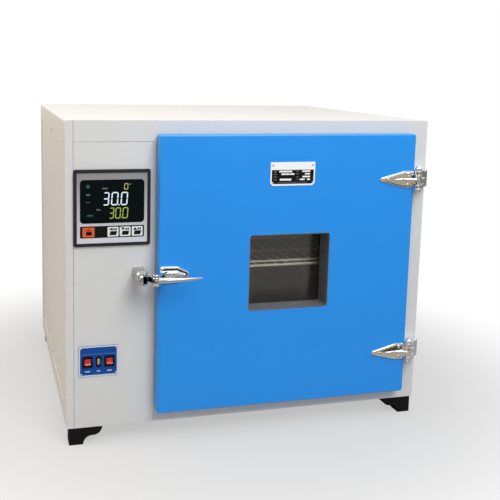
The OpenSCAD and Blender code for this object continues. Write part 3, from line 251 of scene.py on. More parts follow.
material, tree = bare_material("white_floor")
diffuse = node_in(tree, "BsdfDiffuse", Color=FLOOR_GREY)
white = node_in(tree, "Emission", Color=WHITE, Strength=1)
place = node_in(tree, "NewGeometry").outputs["Position"]
reach = node_in(tree, "VectorMath", place, operation="LENGTH").outputs["Value"]
fade = range_in(tree, reach, interpolation_type="SMOOTHSTEP", From_Min=SHADOW_REACH, From_Max=FADE_REACH,
                To_Min=LEAST_FADE)
seen = math_in(tree, "MULTIPLY", fade, node_in(tree, "LightPath").outputs["Is Camera Ray"])
mix = node_in(tree, "MixShader", seen, diffuse.outputs[0], white.outputs[0])
node_in(tree, "OutputMaterial", mix.outputs[0])
studio_sheet("floor", FLOOR_SIDE, FLOOR_SIDE, material)
print("floor and world are white for the camera, and the world lights at", WORLD_LIGHT)

# %% [markdown]
# The lamps are wide and soft, as in a light tent. The strongest stands in front, high up,
# and lights the door; a weak one above lifts the top, and a warm one on the left gives the
# side the slightly sandy tone that it has in the photograph.

# %% Hang the lamps
LAMP_TARGET = Vector((0, 0, 0.3))


def face_oven(thing, place, axis):
    """Puts a lamp or a card at its place and turns the axis to the oven's middle."""
    thing.location = place
    thing.rotation_mode = "QUATERNION"
    thing.rotation_quaternion = (LAMP_TARGET - Vector(place)).to_track_quat(axis, "Y")


def soft_lamp(name, place, side, power, colour):
    data = bpy.data.lights.new(name, "AREA")
    data.shape = "SQUARE"
    data.size = side
    data.energy = power
    data.color = colour
    lamp = bpy.data.objects.new(name, data)
    face_oven(lamp, place, "-Z")
    scene.collection.objects.link(lamp)
    print("lamp", name, power, "W")


soft_lamp("top_lamp", (0.3, -0.9, 2.6), 1.8, 12, (1.0, 1.0, 1.0))
soft_lamp("front_lamp", (0.3, -2.0, 2.0), 1.2, 37, (0.97, 0.98, 1.0))
soft_lamp("left_lamp", (-1.7, 0.0, 1.8), 1.2, 29, (1.0, 0.84, 0.62))

# %% [markdown]
# Chrome shows nothing but its surroundings, and in an all-white room it would look like
# grey plaster. Photographers stand cards round it: black ones draw the dark lines, and two
# large sandy ones give the flat faces their warm tone. These cards glow with a plain
# colour and are seen only by mirrors, so matt surfaces and the camera ignore them.

# %% Stand up the cards
SANDY = (0.47, 0.40, 0.30, 1)
NEAR_BLACK = (0.015, 0.015, 0.02, 1)


def mirror_card(name, centre, width, height, colour, flat=False):
    material, tree = bare_material(name)
    glow = node_in(tree, "Emission", Color=colour, Strength=1)
    node_in(tree, "OutputMaterial", glow.outputs[0])
    card = studio_sheet(name, width, height, material)
    if flat:
        card.location = centre
    else:
        face_oven(card, centre, "Z")
    card.visible_camera = False
    card.visible_diffuse = False
    card.visible_shadow = False
    card.visible_transmission = False
    print("card", name)


mirror_card("sandy_front", (1.0, -3.2, 0.35), 4.6, 1.5, SANDY)
mirror_card("sandy_floor", (0.6, -1.75, 0.006), 4.2, 2.5, SANDY, flat=True)
mirror_card("black_above", (0.2, -2.2, 1.75), 3.6, 0.34, NEAR_BLACK)
mirror_card("black_left", (-2.0, -1.9, 0.7), 0.9, 2.4, NEAR_BLACK)
mirror_card("black_right", (2.1, -1.6, 0.6), 0.5, 2.4, NEAR_BLACK)
mirror_card("black_low", (0.4, -1.1, 0.012), 3.0, 0.25, NEAR_BLACK, flat=True)
mirror_card("black_left_floor", (-1.45, -0.75, 0.009), 1.0, 1.3, NEAR_BLACK, flat=True)

# %% [markdown]
# ## Effects that several finishes share
#
# Paint, steel and plastic share a few small effects: the rippled skin of a coating, the
# fine lines of a brushed sheet, edges that are rubbed bright and the dust on top. Each is a
# node group, built once, and every material sets its own values on it.

# %% Start a node group


def new_group(name, inputs, outputs):
    """An empty shader group: its tree, the sockets it is given and the node that takes its results."""
    group = bpy.data.node_groups.new(name, "ShaderNodeTree")
    for label, kind, value in inputs:
        socket = group.interface.new_socket(label, in_out="INPUT", socket_type="NodeSocket" + kind)
        socket.default_value = value
    for label, kind in outputs:
        group.interface.new_socket(label, in_out="OUTPUT", socket_type="NodeSocket" + kind)
    given = group.nodes.new("NodeGroupInput")
    result = group.nodes.new("NodeGroupOutput")
    print("group:", name)
    return group, given.outputs, result


# %% [markdown]
# A coating is never quite even. Two noises make its colour drift over a hand's width and
# its skin ripple over a millimetre or two, which breaks up the reflections.

# %% Coating skin
coating, given, result = new_group(
    "coating_skin",
    [("Colour", "Color", (0.5, 0.5, 0.5, 1)), ("Drift", "Float", 0.03), ("Ripple Size", "Float", 450.0),
     ("Roughness", "Float", 0.4), ("Roughness Spread", "Float", 0.06)],
    [("Colour", "Color"), ("Roughness", "Float"), ("Height", "Float")])
place = place_in(coating)
drift = math_in(coating, "SUBTRACT", noise_in(coating, place, 7.0, 3.0, 0.55), 0.5)
value = math_in(coating, "ADD", math_in(coating, "MULTIPLY", drift, given["Drift"]), 1.0)
tint = node_in(coating, "VectorMath", given["Colour"], operation="SCALE", Scale=value)
spread = math_in(coating, "MULTIPLY_ADD", drift, given["Roughness Spread"], given["Roughness"])
fill(coating, result, Colour=tint.outputs["Vector"], Roughness=spread,
     Height=noise_in(coating, place, given["Ripple Size"], 2.0))

# %% [markdown]
# Brushing leaves lines that are long one way and fine the other. A noise that is stretched
# along the brushing direction gives them, for the roughness and for the height alike.

# %% Brushed lines
brushed, given, result = new_group(
    "brushed_lines",
    [("Stretch", "Vector", (30.0, 900.0, 900.0)), ("Roughness", "Float", 0.3), ("Spread", "Float", 0.2)],
    [("Roughness", "Float"), ("Height", "Float"), ("Shade", "Float")])
stretched = node_in(brushed, "VectorMath", place_in(brushed), given["Stretch"], operation="MULTIPLY")
lines = noise_in(brushed, stretched.outputs["Vector"], 1.0, 4.0, 0.6)
centred = math_in(brushed, "SUBTRACT", lines, 0.5)
spread = math_in(brushed, "MULTIPLY_ADD", centred, given["Spread"], given["Roughness"])
fill(brushed, result, Roughness=spread, Height=lines, Shade=lines)

# %% [markdown]
# Where fingers and cloths rub an edge, the coating goes thin. A bevelled normal differs
# from the true one only near an edge, so their difference finds the edges of any mesh; a
# noise then breaks the line up, because wear is never even.

# %% Edge wear
edges, given, result = new_group(
    "edge_wear", [("Radius", "Float", 0.0015), ("Amount", "Float", 0.5)], [("Mask", "Float")])
bevel = node_in(edges, "Bevel", samples=4, Radius=given["Radius"])
face = node_in(edges, "NewGeometry")
likeness = node_in(edges, "VectorMath", bevel.outputs[0], face.outputs["Normal"],
                   operation="DOT_PRODUCT")
turned = range_in(edges, likeness.outputs["Value"], From_Min=0.999, From_Max=0.85)
patches = noise_in(edges, place_in(edges), 60.0, 4.0, 0.7)
rubbed = math_in(edges, "MULTIPLY", turned, range_in(edges, patches, From_Min=0.45, From_Max=0.65))
fill(edges, result, Mask=math_in(edges, "MULTIPLY", rubbed, given["Amount"], use_clamp=True))

# %% [markdown]
# Dust lies on what faces up and is patchy. The mask is the upward part of the normal times
# a noise; materials use it to turn their colour pale and their gloss dull.

# %% Settled dust
dust, given, result = new_group(
    "settled_dust", [("Amount", "Float", 0.2), ("Patch Size", "Float", 14.0)], [("Mask", "Float")])
normal = node_in(dust, "SeparateXYZ", node_in(dust, "NewGeometry").outputs["Normal"])
upward = range_in(dust, normal.outputs["Z"], From_Min=0.4)
patches = noise_in(dust, place_in(dust), given["Patch Size"], 6.0, 0.65)
settled = math_in(dust, "MULTIPLY", upward, range_in(dust, patches, From_Min=0.35, From_Max=0.75))
fill(dust, result, Mask=math_in(dust, "MULTIPLY", settled, given["Amount"]))

# %% [markdown]
# ## Finishes
#
# Each finish is a small function, named for what a maker would order. The helpers start a
# material, put a shared effect in it, mix by a mask and feed the shader.

# %% Start a finish
DUST_COLOUR = (0.62, 0.60, 0.56, 1)
MIX_SOCKETS = {"RGBA": (6, 7, 2), "FLOAT": (2, 3, 0)}


def new_finish(name, **sockets):
    material = bpy.data.materials.new(name)
    material.use_nodes = True
    tree = material.node_tree
    shader = tree.nodes["Principled BSDF"]
    fill(tree, shader, **sockets)
    return material, tree, shader


def group_in(tree, group, **values):
    """The outputs of a shared effect that is placed in a material with its own values."""
    node = tree.nodes.new("ShaderNodeGroup")
    node.node_tree = group
    fill(tree, node, **values)
    return node.outputs


def skin_in(tree, colour, **values):
    """A coating's skin of a plain colour."""
    return group_in(tree, coating, Colour=(*colour, 1), **values)


def mixed(tree, kind, mask, below, above):
    """Two colours (RGBA) or values (FLOAT) mixed by a mask."""
    first, second, result = MIX_SOCKETS[kind]
    mix = node_in(tree, "Mix", mask, data_type=kind)
    feed(tree, mix.inputs[first], below)
    feed(tree, mix.inputs[second], above)
    return mix.outputs[result]


def dress(tree, shader, colour, rough, height, strength, distance):
    """Gives a shader its colour, its roughness and a relief of some strength and depth."""
    relief = node_in(tree, "Bump", Strength=strength, Distance=distance, Height=height)
    fill(tree, shader, Base_Color=colour, Roughness=rough, Normal=relief.outputs["Normal"])


def aged_finish(name, skin, wear, worn, settled, dull, strength, distance, shine, **sockets):
    """A coloured skin with worn edges and some dust, from the values of each effect."""
    material, tree, shader = new_finish(name, Specular_IOR_Level=shine, **sockets)
    skin = skin_in(tree, **skin)
    wear = group_in(tree, edges, **wear)["Mask"]
    settled = group_in(tree, dust, **settled)["Mask"]
    rubbed = mixed(tree, "RGBA", wear, skin["Colour"], (*worn, 1))
    dress(tree, shader, mixed(tree, "RGBA", settled, rubbed, DUST_COLOUR),
          mixed(tree, "FLOAT", settled, skin["Roughness"], dull), skin["Height"], strength, distance)
    return material


# %% [markdown]
# Powder coat covers the casing and the door. It is baked on, so it is even and satin, with
# a faint ripple. Its rubbed edges are lighter, and the flat top gathers a little dust.

# %% Powder coat


def powder_coat(name, colour, roughness, worn, dusty=0.15):
    skin = {"colour": colour, "Drift": 0.05, "Roughness": roughness, "Roughness_Spread": 0.08}
    return aged_finish(name, skin, {"Radius": 0.0012, "Amount": 0.3}, worn, {"Amount": dusty}, 0.7,
                       0.06, 0.0006, 0.45)


# %% [markdown]
# Moulded plastic has a fine, even grain from its mould. Gloss and grain are set for each
# part: dull feet, a satin rim, shiny rockers. The printing inks behave like it too.

# %% Moulded plastic


def plastic(name, colour, roughness=0.5, grain=0.05, worn=None, dusty=0.1, shine=0.5, **sockets):
    skin = {"colour": colour, "Drift": 0.08, "Ripple_Size": 1600.0, "Roughness": roughness,
            "Roughness_Spread": 0.1}
    rubbed = worn or tuple(min(1, c * 1.6 + 0.02) for c in colour)
    return aged_finish(name, skin, {"Radius": 0.0008, "Amount": 0.25}, rubbed,
                       {"Amount": dusty, "Patch_Size": 30.0}, 0.8, grain, 0.0004, shine, **sockets)


# %% [markdown]
# Brushed stainless lines the chamber. The lines run along the longer side of a sheet, and
# faint cloudy stains show that air and heat have been at it.

# %% Brushed steel
LINE_SHADE = 0.86


def brushed_steel(name, colour, stretch, roughness=0.32, stain=0.12, metal=1.0):
    material, tree, shader = new_finish(name, Metallic=metal)
    lines = group_in(tree, brushed, Stretch=stretch, Roughness=roughness, Spread=0.16)
    clouds = skin_in(tree, colour, Drift=stain * 2)
    shaded = mixed(tree, "RGBA", lines["Shade"], clouds["Colour"], (*(c * LINE_SHADE for c in colour), 1))
    dress(tree, shader, shaded, lines["Roughness"], lines["Height"], 0.08, 0.0003)
    return material


# %% [markdown]
# The latch and the hinges are polished castings under chrome. The plating is mirror bright,
# but the casting below is never flat, so a broad, low ripple bends the reflections.

# %% Polished chrome


def polished_chrome(name, shade=0.81, ripple_size=120.0, ripple=0.10, depth=0.0006):
    material, tree, shader = new_finish(name, Metallic=1.0)
    skin = skin_in(tree, (0.99 * shade, shade, 1.02 * shade), Drift=0.06, Ripple_Size=ripple_size,
                   Roughness=0.09, Roughness_Spread=0.08)
    settled = group_in(tree, dust, Amount=0.12, Patch_Size=90.0)["Mask"]
    rough = mixed(tree, "FLOAT", settled, skin["Roughness"], 0.4)
    dress(tree, shader, skin["Colour"], rough, skin["Height"], ripple, depth)
    return material


# %% [markdown]
# Some small faces need a recipe of their own: the controller's silver face, which has
# painted shade, darker under its upper rim, and the lit segments of the display, whose glow
# is made slightly uneven by the coating's noise.

# %% Face with painted shade, and lit segments


def face_with_painted_shade(name, dark, light, low, high):
    """Satin plastic with painted shade: its grey runs from light at the height low to dark at the height
    high.
    """
    material, tree, shader = new_finish(name, Metallic=0.1)
    skin = skin_in(tree, light, Drift=0.04, Ripple_Size=1600.0, Roughness=0.42)
    height = node_in(tree, "SeparateXYZ", place_in(tree)).outputs["Z"]
    climb = range_in(tree, height, From_Min=low, From_Max=high)
    with_painted_shade = mixed(tree, "RGBA", climb, skin["Colour"], (*dark, 1))
    dress(tree, shader, with_painted_shade, skin["Roughness"], skin["Height"], 0.04, 0.0003)
    return material


def lit_segment(name, colour):
    material, tree, shader = new_finish(name, Base_Color=(0.01, 0.01, 0.01, 1), Roughness=0.4,
                                        Emission_Strength=1.0)
    fill(tree, shader, Emission_Color=skin_in(tree, colour, Drift=0.25, Ripple_Size=900.0)["Colour"])
    return material


# %% [markdown]
# Glass keeps its plain transmission. Its shadow rays pass, because a pane in a window
# hardly darkens what is behind it, and a faint film of grease varies its gloss.

# %% Pane glass


def pane_glass(name):
    material, tree, shader = new_finish(name, Transmission_Weight=1.0, IOR=1.45,
                                        Base_Color=(0.84, 0.83, 0.80, 1))
    film = group_in(tree, coating, Roughness=0.02, Roughness_Spread=0.04)
    fill(tree, shader, Roughness=film["Roughness"])
    clear = node_in(tree, "BsdfTransparent", Color=(0.88, 0.87, 0.86, 1))
    shadow_ray = node_in(tree, "LightPath").outputs["Is Shadow Ray"]
    mix = node_in(tree, "MixShader", shadow_ray, shader.outputs[0], clear.outputs[0])
    fill(tree, tree.nodes["Material Output"], Surface=mix.outputs[0])
    return material


# %% [markdown]
# Two finishes sit inside the oven. Mineral wool is matted fibre: a colour that changes over
# a few millimetres, and a coarse height. Heat turns a heater's sheath brown and blue, which
# a slow noise mixes over the metal.

# %% Mineral wool and heated sheath


def mineral_wool(name):
    material, tree, shader = new_finish(name, Sheen_Weight=0.3)
    skin = skin_in(tree, (0.70, 0.64, 0.42), Drift=0.3, Ripple_Size=700.0, Roughness=0.95,
                   Roughness_Spread=0.05)
    dress(tree, shader, skin["Colour"], skin["Roughness"], skin["Height"], 0.7, 0.002)
    return material


def heated_sheath(name):
    material, tree, shader = new_finish(name, Metallic=1.0)
    skin = skin_in(tree, (0.30, 0.22, 0.16), Drift=0.3, Roughness=0.45, Roughness_Spread=0.2)
    patches = noise_in(tree, place_in(tree), 22.0, 3.0)
    tinted = mixed(tree, "RGBA", patches, skin["Colour"], (0.16, 0.18, 0.26, 1))
    dress(tree, shader, tinted, skin["Roughness"], skin["Height"], 0.2, 0.0004)
    return material


# %% [markdown]
# ## Dressing the CAD nodes
#
# Every node gets the finish of its material slot. The colours are those of the photograph,
# turned into linear values: a light grey casing, a clear blue door, black feet.

# %% Make the finishes
ACROSS = (25.0, 700.0, 700.0)
UPWARD = (700.0, 700.0, 25.0)
EVEN = (300.0, 300.0, 300.0)
# The silver face gets painted shade: its grey is darker towards its upper rim.
FACE_UNSHADED_Z = casing_low.z + 0.365
FACE_PAINTED_SHADE_Z = casing_low.z + 0.500
finishes = {
    "grey_paint": powder_coat("grey_powder_coat", (0.68, 0.68, 0.675), 0.42, (0.80, 0.80, 0.79)),
    "blue_paint": powder_coat("blue_powder_coat", (0.013, 0.28, 0.82), 0.36, (0.16, 0.42, 0.85), 0.05),
    "plate_blue": plastic("deep_blue_enamel", (0.001, 0.062, 0.30), worn=(0.01, 0.09, 0.35), dusty=0.02,
                          shine=0.25),
    "frame_grey": powder_coat("dark_grey_paint", (0.12, 0.12, 0.135), 0.5, (0.3, 0.3, 0.3), 0.0),
    "stainless": brushed_steel("brushed_stainless", (0.62, 0.62, 0.61), ACROSS),
    "chrome": polished_chrome("polished_chrome"),
    # The keeper's chrome is darker than the rest: painted dark reflection, standing in for the dark
    # surroundings its facets mirror.
    "keeper_chrome_painted_dark": polished_chrome("hand_polished_chrome_painted_dark", 0.54, 110.0, 1.0, 0.006),
    "shelf_wire": brushed_steel("shelf_wire", (0.95, 0.93, 0.88), EVEN, 0.5, 0.05, metal=0.35),
    "screw_steel": brushed_steel("plated_screw", (0.66, 0.66, 0.66), UPWARD, 0.25, 0.05),
    "heater_metal": heated_sheath("heater_sheath"),
    "aluminium": brushed_steel("cast_aluminium", (0.58, 0.59, 0.60), EVEN, 0.45),
    "motor_black": powder_coat("motor_enamel", (0.02, 0.02, 0.022), 0.4, (0.2, 0.2, 0.2)),
    "black_plastic": plastic("black_plastic", (0.006, 0.006, 0.007), 0.45, worn=(0.02, 0.02, 0.02),
                             dusty=0.02, shine=0.12),
    "dark_plastic": plastic("rim_plastic", (0.014, 0.014, 0.020), 0.45, dusty=0.05, shine=0.3),
    "silver_plastic": face_with_painted_shade("silver_face_painted_shade", (0.26, 0.26, 0.26), (0.70, 0.71, 0.75),
                                  FACE_UNSHADED_Z, FACE_PAINTED_SHADE_Z),
    "display": plastic("display_black", (0.002, 0.005, 0.006), 0.35, 0.01, (0.01, 0.01, 0.01), 0.0, 0.05),
    "key_pale": plastic("pale_key", (0.78, 0.79, 0.78), 0.45),
    "key_orange": plastic("orange_key", (0.66, 0.10, 0.02), 0.4),
    "switch_red": plastic("red_rocker", (0.50, 0.018, 0.025), 0.22, 0.01, Coat_Weight=0.5),
    "lamp_lens": plastic("amber_lens", (0.34, 0.26, 0.17), 0.2, 0.01, Coat_Weight=0.5),
    "foot_black": plastic("foot_plastic", (0.005, 0.005, 0.005), 0.6, 0.12, dusty=0.02, shine=0.12),
    "wool": mineral_wool("mineral_wool"),
    "silicone": plastic("silicone_seal", (0.42, 0.10, 0.05), 0.55, 0.15),
    "black_rubber": plastic("black_rubber", (0.012, 0.012, 0.012), 0.7, 0.1),
    "glass": pane_glass("pane_glass"),
    "plate_metal": powder_coat("plate_enamel", (0.90, 0.90, 0.91), 0.35, (0.8, 0.8, 0.8), 0.02),
    "print_black": plastic("black_print", (0.004, 0.004, 0.005), worn=(0.01, 0.01, 0.01), dusty=0.0,
                           shine=0.12),
}
INKS = {"white": (0.88, 0.88, 0.88), "grey": (0.12, 0.12, 0.12), "sky": (0.62, 0.70, 0.82),
        "blue": (0.035, 0.13, 0.38), "rust": (0.25, 0.03, 0.01)}
GLOWS = {"white": (0.72, 0.86, 0.97), "green": (0.36, 0.46, 0.10), "amber": (0.42, 0.42, 0.16),
         "teal": (0.012, 0.060, 0.065), "dim": (0.10, 0.11, 0.075)}
for name, colour in INKS.items():
    finishes["print_" + name] = plastic(name + "_print", colour, dusty=0.0)
for name, colour in GLOWS.items():
    finishes["lit_" + name] = lit_segment(name + "_segment", colour)
print("finishes:", len(finishes))

# %% [markdown]
# The record lists a material slot for every node, so the finishes can be handed out in one
# loop. Only the shelves are brighter than their slot: they are plated wire, not sheet.

# %% Give each node its finish
slot_of = {part["node"]: part["material_slot"] for part in frame["record"]["subparts"]}
brighter = {"upper_shelf": "shelf_wire", "lower_shelf": "shelf_wire"}
for name, node_object in nodes.items():
    node_object.data.materials.clear()
    node_object.data.materials.append(finishes[brighter.get(name, slot_of[name])])
print("dressed nodes:", len(nodes))

# %% [markdown]
# ## Lofted castings
#
# The latch and the hinges are castings with soft edges. A CAD solid has sharp ones, and
# chrome shows it, because the thin bright lines along the edges are missing. So these
# pieces are lofted here from rings. A ring is the outline round a few circles, as if a band
# were stretched about them, and a plate is such a ring with a small inset at its two faces.

# %% Rings
EDGE_STEPS = 4
LEAST_RADIUS = 0.02


def circle(count):
    """Cosine and sine of evenly spaced turns."""
    return [(math.cos(2 * math.pi * k / count), math.sin(2 * math.pi * k / count)) for k in range(count)]


def band(circles, inset=0.0, count=96):
    """Points of a band stretched round circles (u, v, radius), drawn in by inset."""
    points = []
    for cu, cv in circle(count):
        u, v, r = max(circles, key=lambda c: c[0] * cu + c[1] * cv + c[2])
        r = max(r - inset, LEAST_RADIUS)
        points.append((u + r * cu, v + r * cv))
    return points


def soft_levels(low, high, edge):
    """(inset, height) pairs of a plate from low to high whose two edges are rounded."""
    turns = [math.pi / 2 * k / EDGE_STEPS for k in range(EDGE_STEPS + 1)]
    start = [(edge * (1 - math.sin(t)), low + edge * (1 - math.cos(t))) for t in turns]
    end = [(edge * (1 - math.cos(t)), high - edge * (1 - math.sin(t))) for t in turns]
    return start + end


def standing(points, y):
    """A ring of (x, z) points on the plane y."""
    return [(x, y, z) for x, z in points]


# %% [markdown]
# A loft joins its rings to a closed skin. Both the plates and the handle are lofts: a plate
# repeats one band, and a handle runs through ovals that change along it.

# %% Lofts


def add_rings(mesh, rings, loop=False):
    """Joins rings of points, given in casing millimetres, to a closed skin in a bmesh.

    The two ends are capped, or joined to each other if loop is set."""
    rows = [[mesh.verts.new(at_casing(*point)) for point in ring] for ring in rings]
    count = len(rows[0])
    pairs = list(zip(rows, rows[1:])) + ([(rows[-1], rows[0])] if loop else [])
    for lower, upper in pairs:
        for k in range(count):
            n = (k + 1) % count
            mesh.faces.new((lower[k], lower[n], upper[n], upper[k]))
    if not loop:
        mesh.faces.new(list(reversed(rows[0])))
        mesh.faces.new(rows[-1])


def add_plate(mesh, circles, low, high, edge, upright=False):
    """A soft-edged plate about a band; its circles are (x, y, r), or (x, z, r) if upright."""
    rings = []
    for inset, level in soft_levels(low, high, edge):
        ring = band(circles, inset)
        rings.append(standing(ring, level) if upright else [(x, y, level) for x, y in ring])
    add_rings(mesh, rings)


def add_pair(mesh, circles, middle, near, far, edge):
    """Two equal plates, below and above a middle height."""
    add_plate(mesh, circles, middle - far, middle - near, edge)
    add_plate(mesh, circles, middle + near, middle + far, edge)


def smooth_between(keys, count):
    """Rows that run smoothly (Catmull-Rom) through a few key rows."""
    rows = []
    last = len(keys) - 1
    for step in range(count + 1):
        at = last * step / count
        i = min(int(at), last - 1)
        t = at - i
        before, a, b, after = keys[max(i - 1, 0)], keys[i], keys[i + 1], keys[min(i + 2, last)]
        rows.append(tuple(0.5 * (2 * q + (r - p) * t + (2 * p - 5 * q + 4 * r - w) * t * t
                                 + (3 * q - p - 3 * r + w) * t ** 3)
                          for p, q, r, w in zip(before, a, b, after)))
    return rows


def add_spine(mesh, keys, start, count, power):
    """A bar along x: ovals that run smoothly through keys (x, y, half depth, half height).

    The keys are measured from start, and a higher power makes the ovals squarer."""
    ovals = [(math.copysign(abs(cu) ** (2 / power), cu), math.copysign(abs(cv) ** (2 / power), cv))
             for cu, cv in circle(32)]
    add_rings(mesh, [[(start[0] + x, start[1] + y + half_y * u, start[2] + half_z * v) for u, v in ovals]
                     for x, y, half_y, half_z in smooth_between(keys, count)])


def finish_piece(name, mesh, finish, body, replaced=(), sharp=40):
    """Turns a bmesh into a piece: outward faces, smooth but for sharp edges, on its body."""
    bmesh.ops.remove_doubles(mesh, verts=mesh.verts, dist=1e-7)
    bmesh.ops.dissolve_degenerate(mesh, edges=mesh.edges, dist=1e-7)
    bmesh.ops.recalc_face_normals(mesh, faces=mesh.faces)
    for face in mesh.faces:
        face.smooth = True
    data = bpy.data.meshes.new(name)
    mesh.to_mesh(data)
    mesh.free()
    data.set_sharp_from_angle(angle=math.radians(sharp))
    data.materials.append(finishes[finish])
    piece = bpy.data.objects.new(name, data)
    scene.collection.objects.link(piece)
    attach(piece, body)
    if replaced:
        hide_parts(*replaced)
    print("piece", name, "on", body, "with", len(data.polygons), "faces")


# %% [markdown]
# ## Latch
#
# The places of the latch are read back from the CAD nodes' boxes, so a change of size in
# the model carries over.

# %% Places of the latch
door_low, door_high = casing_box("door_skin")
pin_low, pin_high = casing_box("latch_pin")
lever_low, lever_high = casing_box("latch_lever")
base_low, base_high = casing_box("latch_base")
keeper_low, keeper_high = casing_box("latch_keeper")
DOOR_FACE = door_low.y
LEVER_X = (pin_low.x + pin_high.x) / 2
LEVER_Y = (pin_low.y + pin_high.y) / 2
LATCH_Z = (pin_low.z + pin_high.z) / 2
LEVER_HALF = (lever_high.z - lever_low.z) / 2
BOSS_R = 7.5
print("lever pin at", [round(v, 1) for v in (LEVER_X, LEVER_Y, LATCH_Z)])
print("door face at", round(DOOR_FACE, 1))

# %% [markdown]
# The body on the door is a domed casting, wide at the door's edge and rounded off towards
# the middle. A flat rim and a narrow groove run round its dome, so the loft is a list of
# (inset, depth) steps. Two ears grow out of it and hold the lever's pin. A black band laid
# in the groove is painted shade.

# %% Latch body
POD_START = door_low.x + 2
POD_END = base_high.x
POD_HALF = (base_high.z - base_low.z) / 2 - 2.4
POD_CORNER_R = 4
POD_TIP_R = 7
POD_STEPS = [(0, 0.05), (0, -3.4), (0.4, -4.5), (1.3, -5.2), (2.9, -5.2), (3.2, -4.9), (3.3, -3.0),
             (5.9, -3.0), (6.0, -5.4), (6.4, -7.2), (7.2, -8.6), (8.4, -9.4), (10.0, -9.8),
             (12.0, -10.0), (14.2, -10.0)]
GROOVE_SHADE_STEPS = [(3.25, -2.9), (3.35, -4.0), (3.8, -4.3), (5.4, -4.3), (5.85, -4.0), (5.95, -2.9)]
EAR_T = 4
EAR_GAP = 0.8


def pod_ring(inset, depth):
    """The pod's outline, drawn in by inset, at a depth from the door's face."""
    squeeze_x, squeeze_z = 1 - inset / 24, max(1 - inset / 15, 0.05)
    mid_x = (POD_START + POD_END) / 2 - 3
    middle = POD_START + 0.6 * (POD_END - POD_START)
    circles = [(POD_START + POD_CORNER_R, LATCH_Z + side * POD_HALF, POD_CORNER_R) for side in (-1, 1)]
    circles += [(middle, LATCH_Z + side * 0.92 * POD_HALF, POD_CORNER_R) for side in (-1, 1)]
    circles.append((POD_END - POD_TIP_R, LATCH_Z, POD_TIP_R))
    return [(mid_x + (x - mid_x) * squeeze_x, DOOR_FACE + depth, LATCH_Z + (z - LATCH_Z) * squeeze_z)
            for x, z in band(circles, count=120)]


mesh = bmesh.new()
add_rings(mesh, [pod_ring(*step) for step in POD_STEPS])
add_plate(mesh, [(POD_END - 11, LATCH_Z, 3.2)], DOOR_FACE - 11.2, DOOR_FACE - 9.0, 1.0, upright=True)
ear = [(LEVER_X, LEVER_Y, BOSS_R), (POD_START + 15, DOOR_FACE - 4, 2),
       (POD_START + 12, DOOR_FACE - 2, 2), (POD_START + 3, DOOR_FACE - 2, 2)]
add_pair(mesh, ear, LATCH_Z, LEVER_HALF + EAR_GAP, LEVER_HALF + EAR_GAP + EAR_T, 1.0)
finish_piece("latch_body", mesh, "chrome", "door", ["latch_base"])
# Painted shade: a black band in the groove, darker than the groove's own shadow.
mesh = bmesh.new()
add_rings(mesh, [pod_ring(*step) for step in GROOVE_SHADE_STEPS], loop=True)
finish_piece("latch_groove_shade", mesh, "black_rubber", "door")

# %% [markdown]
# The keeper on the casing is the chunky part of the pair. Its section is a C that opens to
# the right, where the lever's nose goes in, and its sloping shoulders catch the light. The
# black roller between its jaws is what the nose draws the door shut against. Its black is
# the nylon's own colour, and it also paints the shade between the jaws.

# %% Keeper
ROLLER_X = (keeper_low.x + keeper_high.x) / 2
ROLLER_Y = keeper_low.y + 11
ROLLER_R = 4
KEEPER_HALF = (keeper_high.z - keeper_low.z) / 2
KEEPER_TOP = KEEPER_HALF - 1
SLOT_HALF = LEVER_HALF + 1.3
SLOT_WALL = -2.5
FLANGE_STEPS = [(0, 0), (0, -1.0), (0.2, -1.4), (2.8, -4.0)]
# Each section is (depth, half width, loss of height, cut of its corners).
KEEPER_SECTIONS = [(-2, 10.2, 0.6, 4.5), (-40, 11.0, 0, 4.5), (-41, 11.0, 0, 4.5),
                   (-44.2, 8.8, 2.6, 3.0), (-45, 8.6, 2.8, 3.0), (-59.5, 8.6, 2.8, 2.6),
                   (-60.3, 8.2, 3.0, 2.6), (-64.8, 4.4, 4.0, 1.2)]


def keeper_ring(y, half, loss, cut):
    """The keeper's section: a C that is open to the right, its corners cut off."""
    tall = max(KEEPER_TOP - loss, SLOT_HALF + 0.4)
    small = 0.35 * cut
    upper = [(half, SLOT_HALF), (half, tall - small), (half - small, tall), (-half + cut, tall),
             (-half, tall - cut)]
    lower = [(x, -z) for x, z in reversed(upper)]
    outline = upper + lower + [(SLOT_WALL, -SLOT_HALF), (SLOT_WALL, SLOT_HALF)]
    return [(ROLLER_X + x, y, LATCH_Z + z) for x, z in outline]


mesh = bmesh.new()
flange = [(ROLLER_X + dx * 6.5, LATCH_Z + dz * (KEEPER_HALF - 6), 5) for dx in (-1, 1) for dz in (-1, 1)]
add_rings(mesh, [standing(band(flange, inset), y) for inset, y in FLANGE_STEPS])
add_rings(mesh, [keeper_ring(*section) for section in KEEPER_SECTIONS])
add_pair(mesh, [(ROLLER_X, ROLLER_Y, 6.5)], LATCH_Z, SLOT_HALF + 0.3, KEEPER_HALF - 0.2, 1.6)
finish_piece("keeper_casting", mesh, "keeper_chrome_painted_dark", "cabinet", ["latch_keeper"], sharp=25)
# The roller's black nylon is its own colour and also serves as painted shade between the jaws.
mesh = bmesh.new()
add_plate(mesh, [(ROLLER_X, ROLLER_Y, ROLLER_R)], LATCH_Z - SLOT_HALF - 0.3,
          LATCH_Z + SLOT_HALF + 0.3, 0.4)
finish_piece("keeper_roller", mesh, "black_plastic", "cabinet")

# %% [markdown]
# The lever is one forging: a boss on the pin, the nose that hooks behind the roller, and a
# handle that bows outward and thins to a blade. The handle runs smoothly through six oval
# sections.

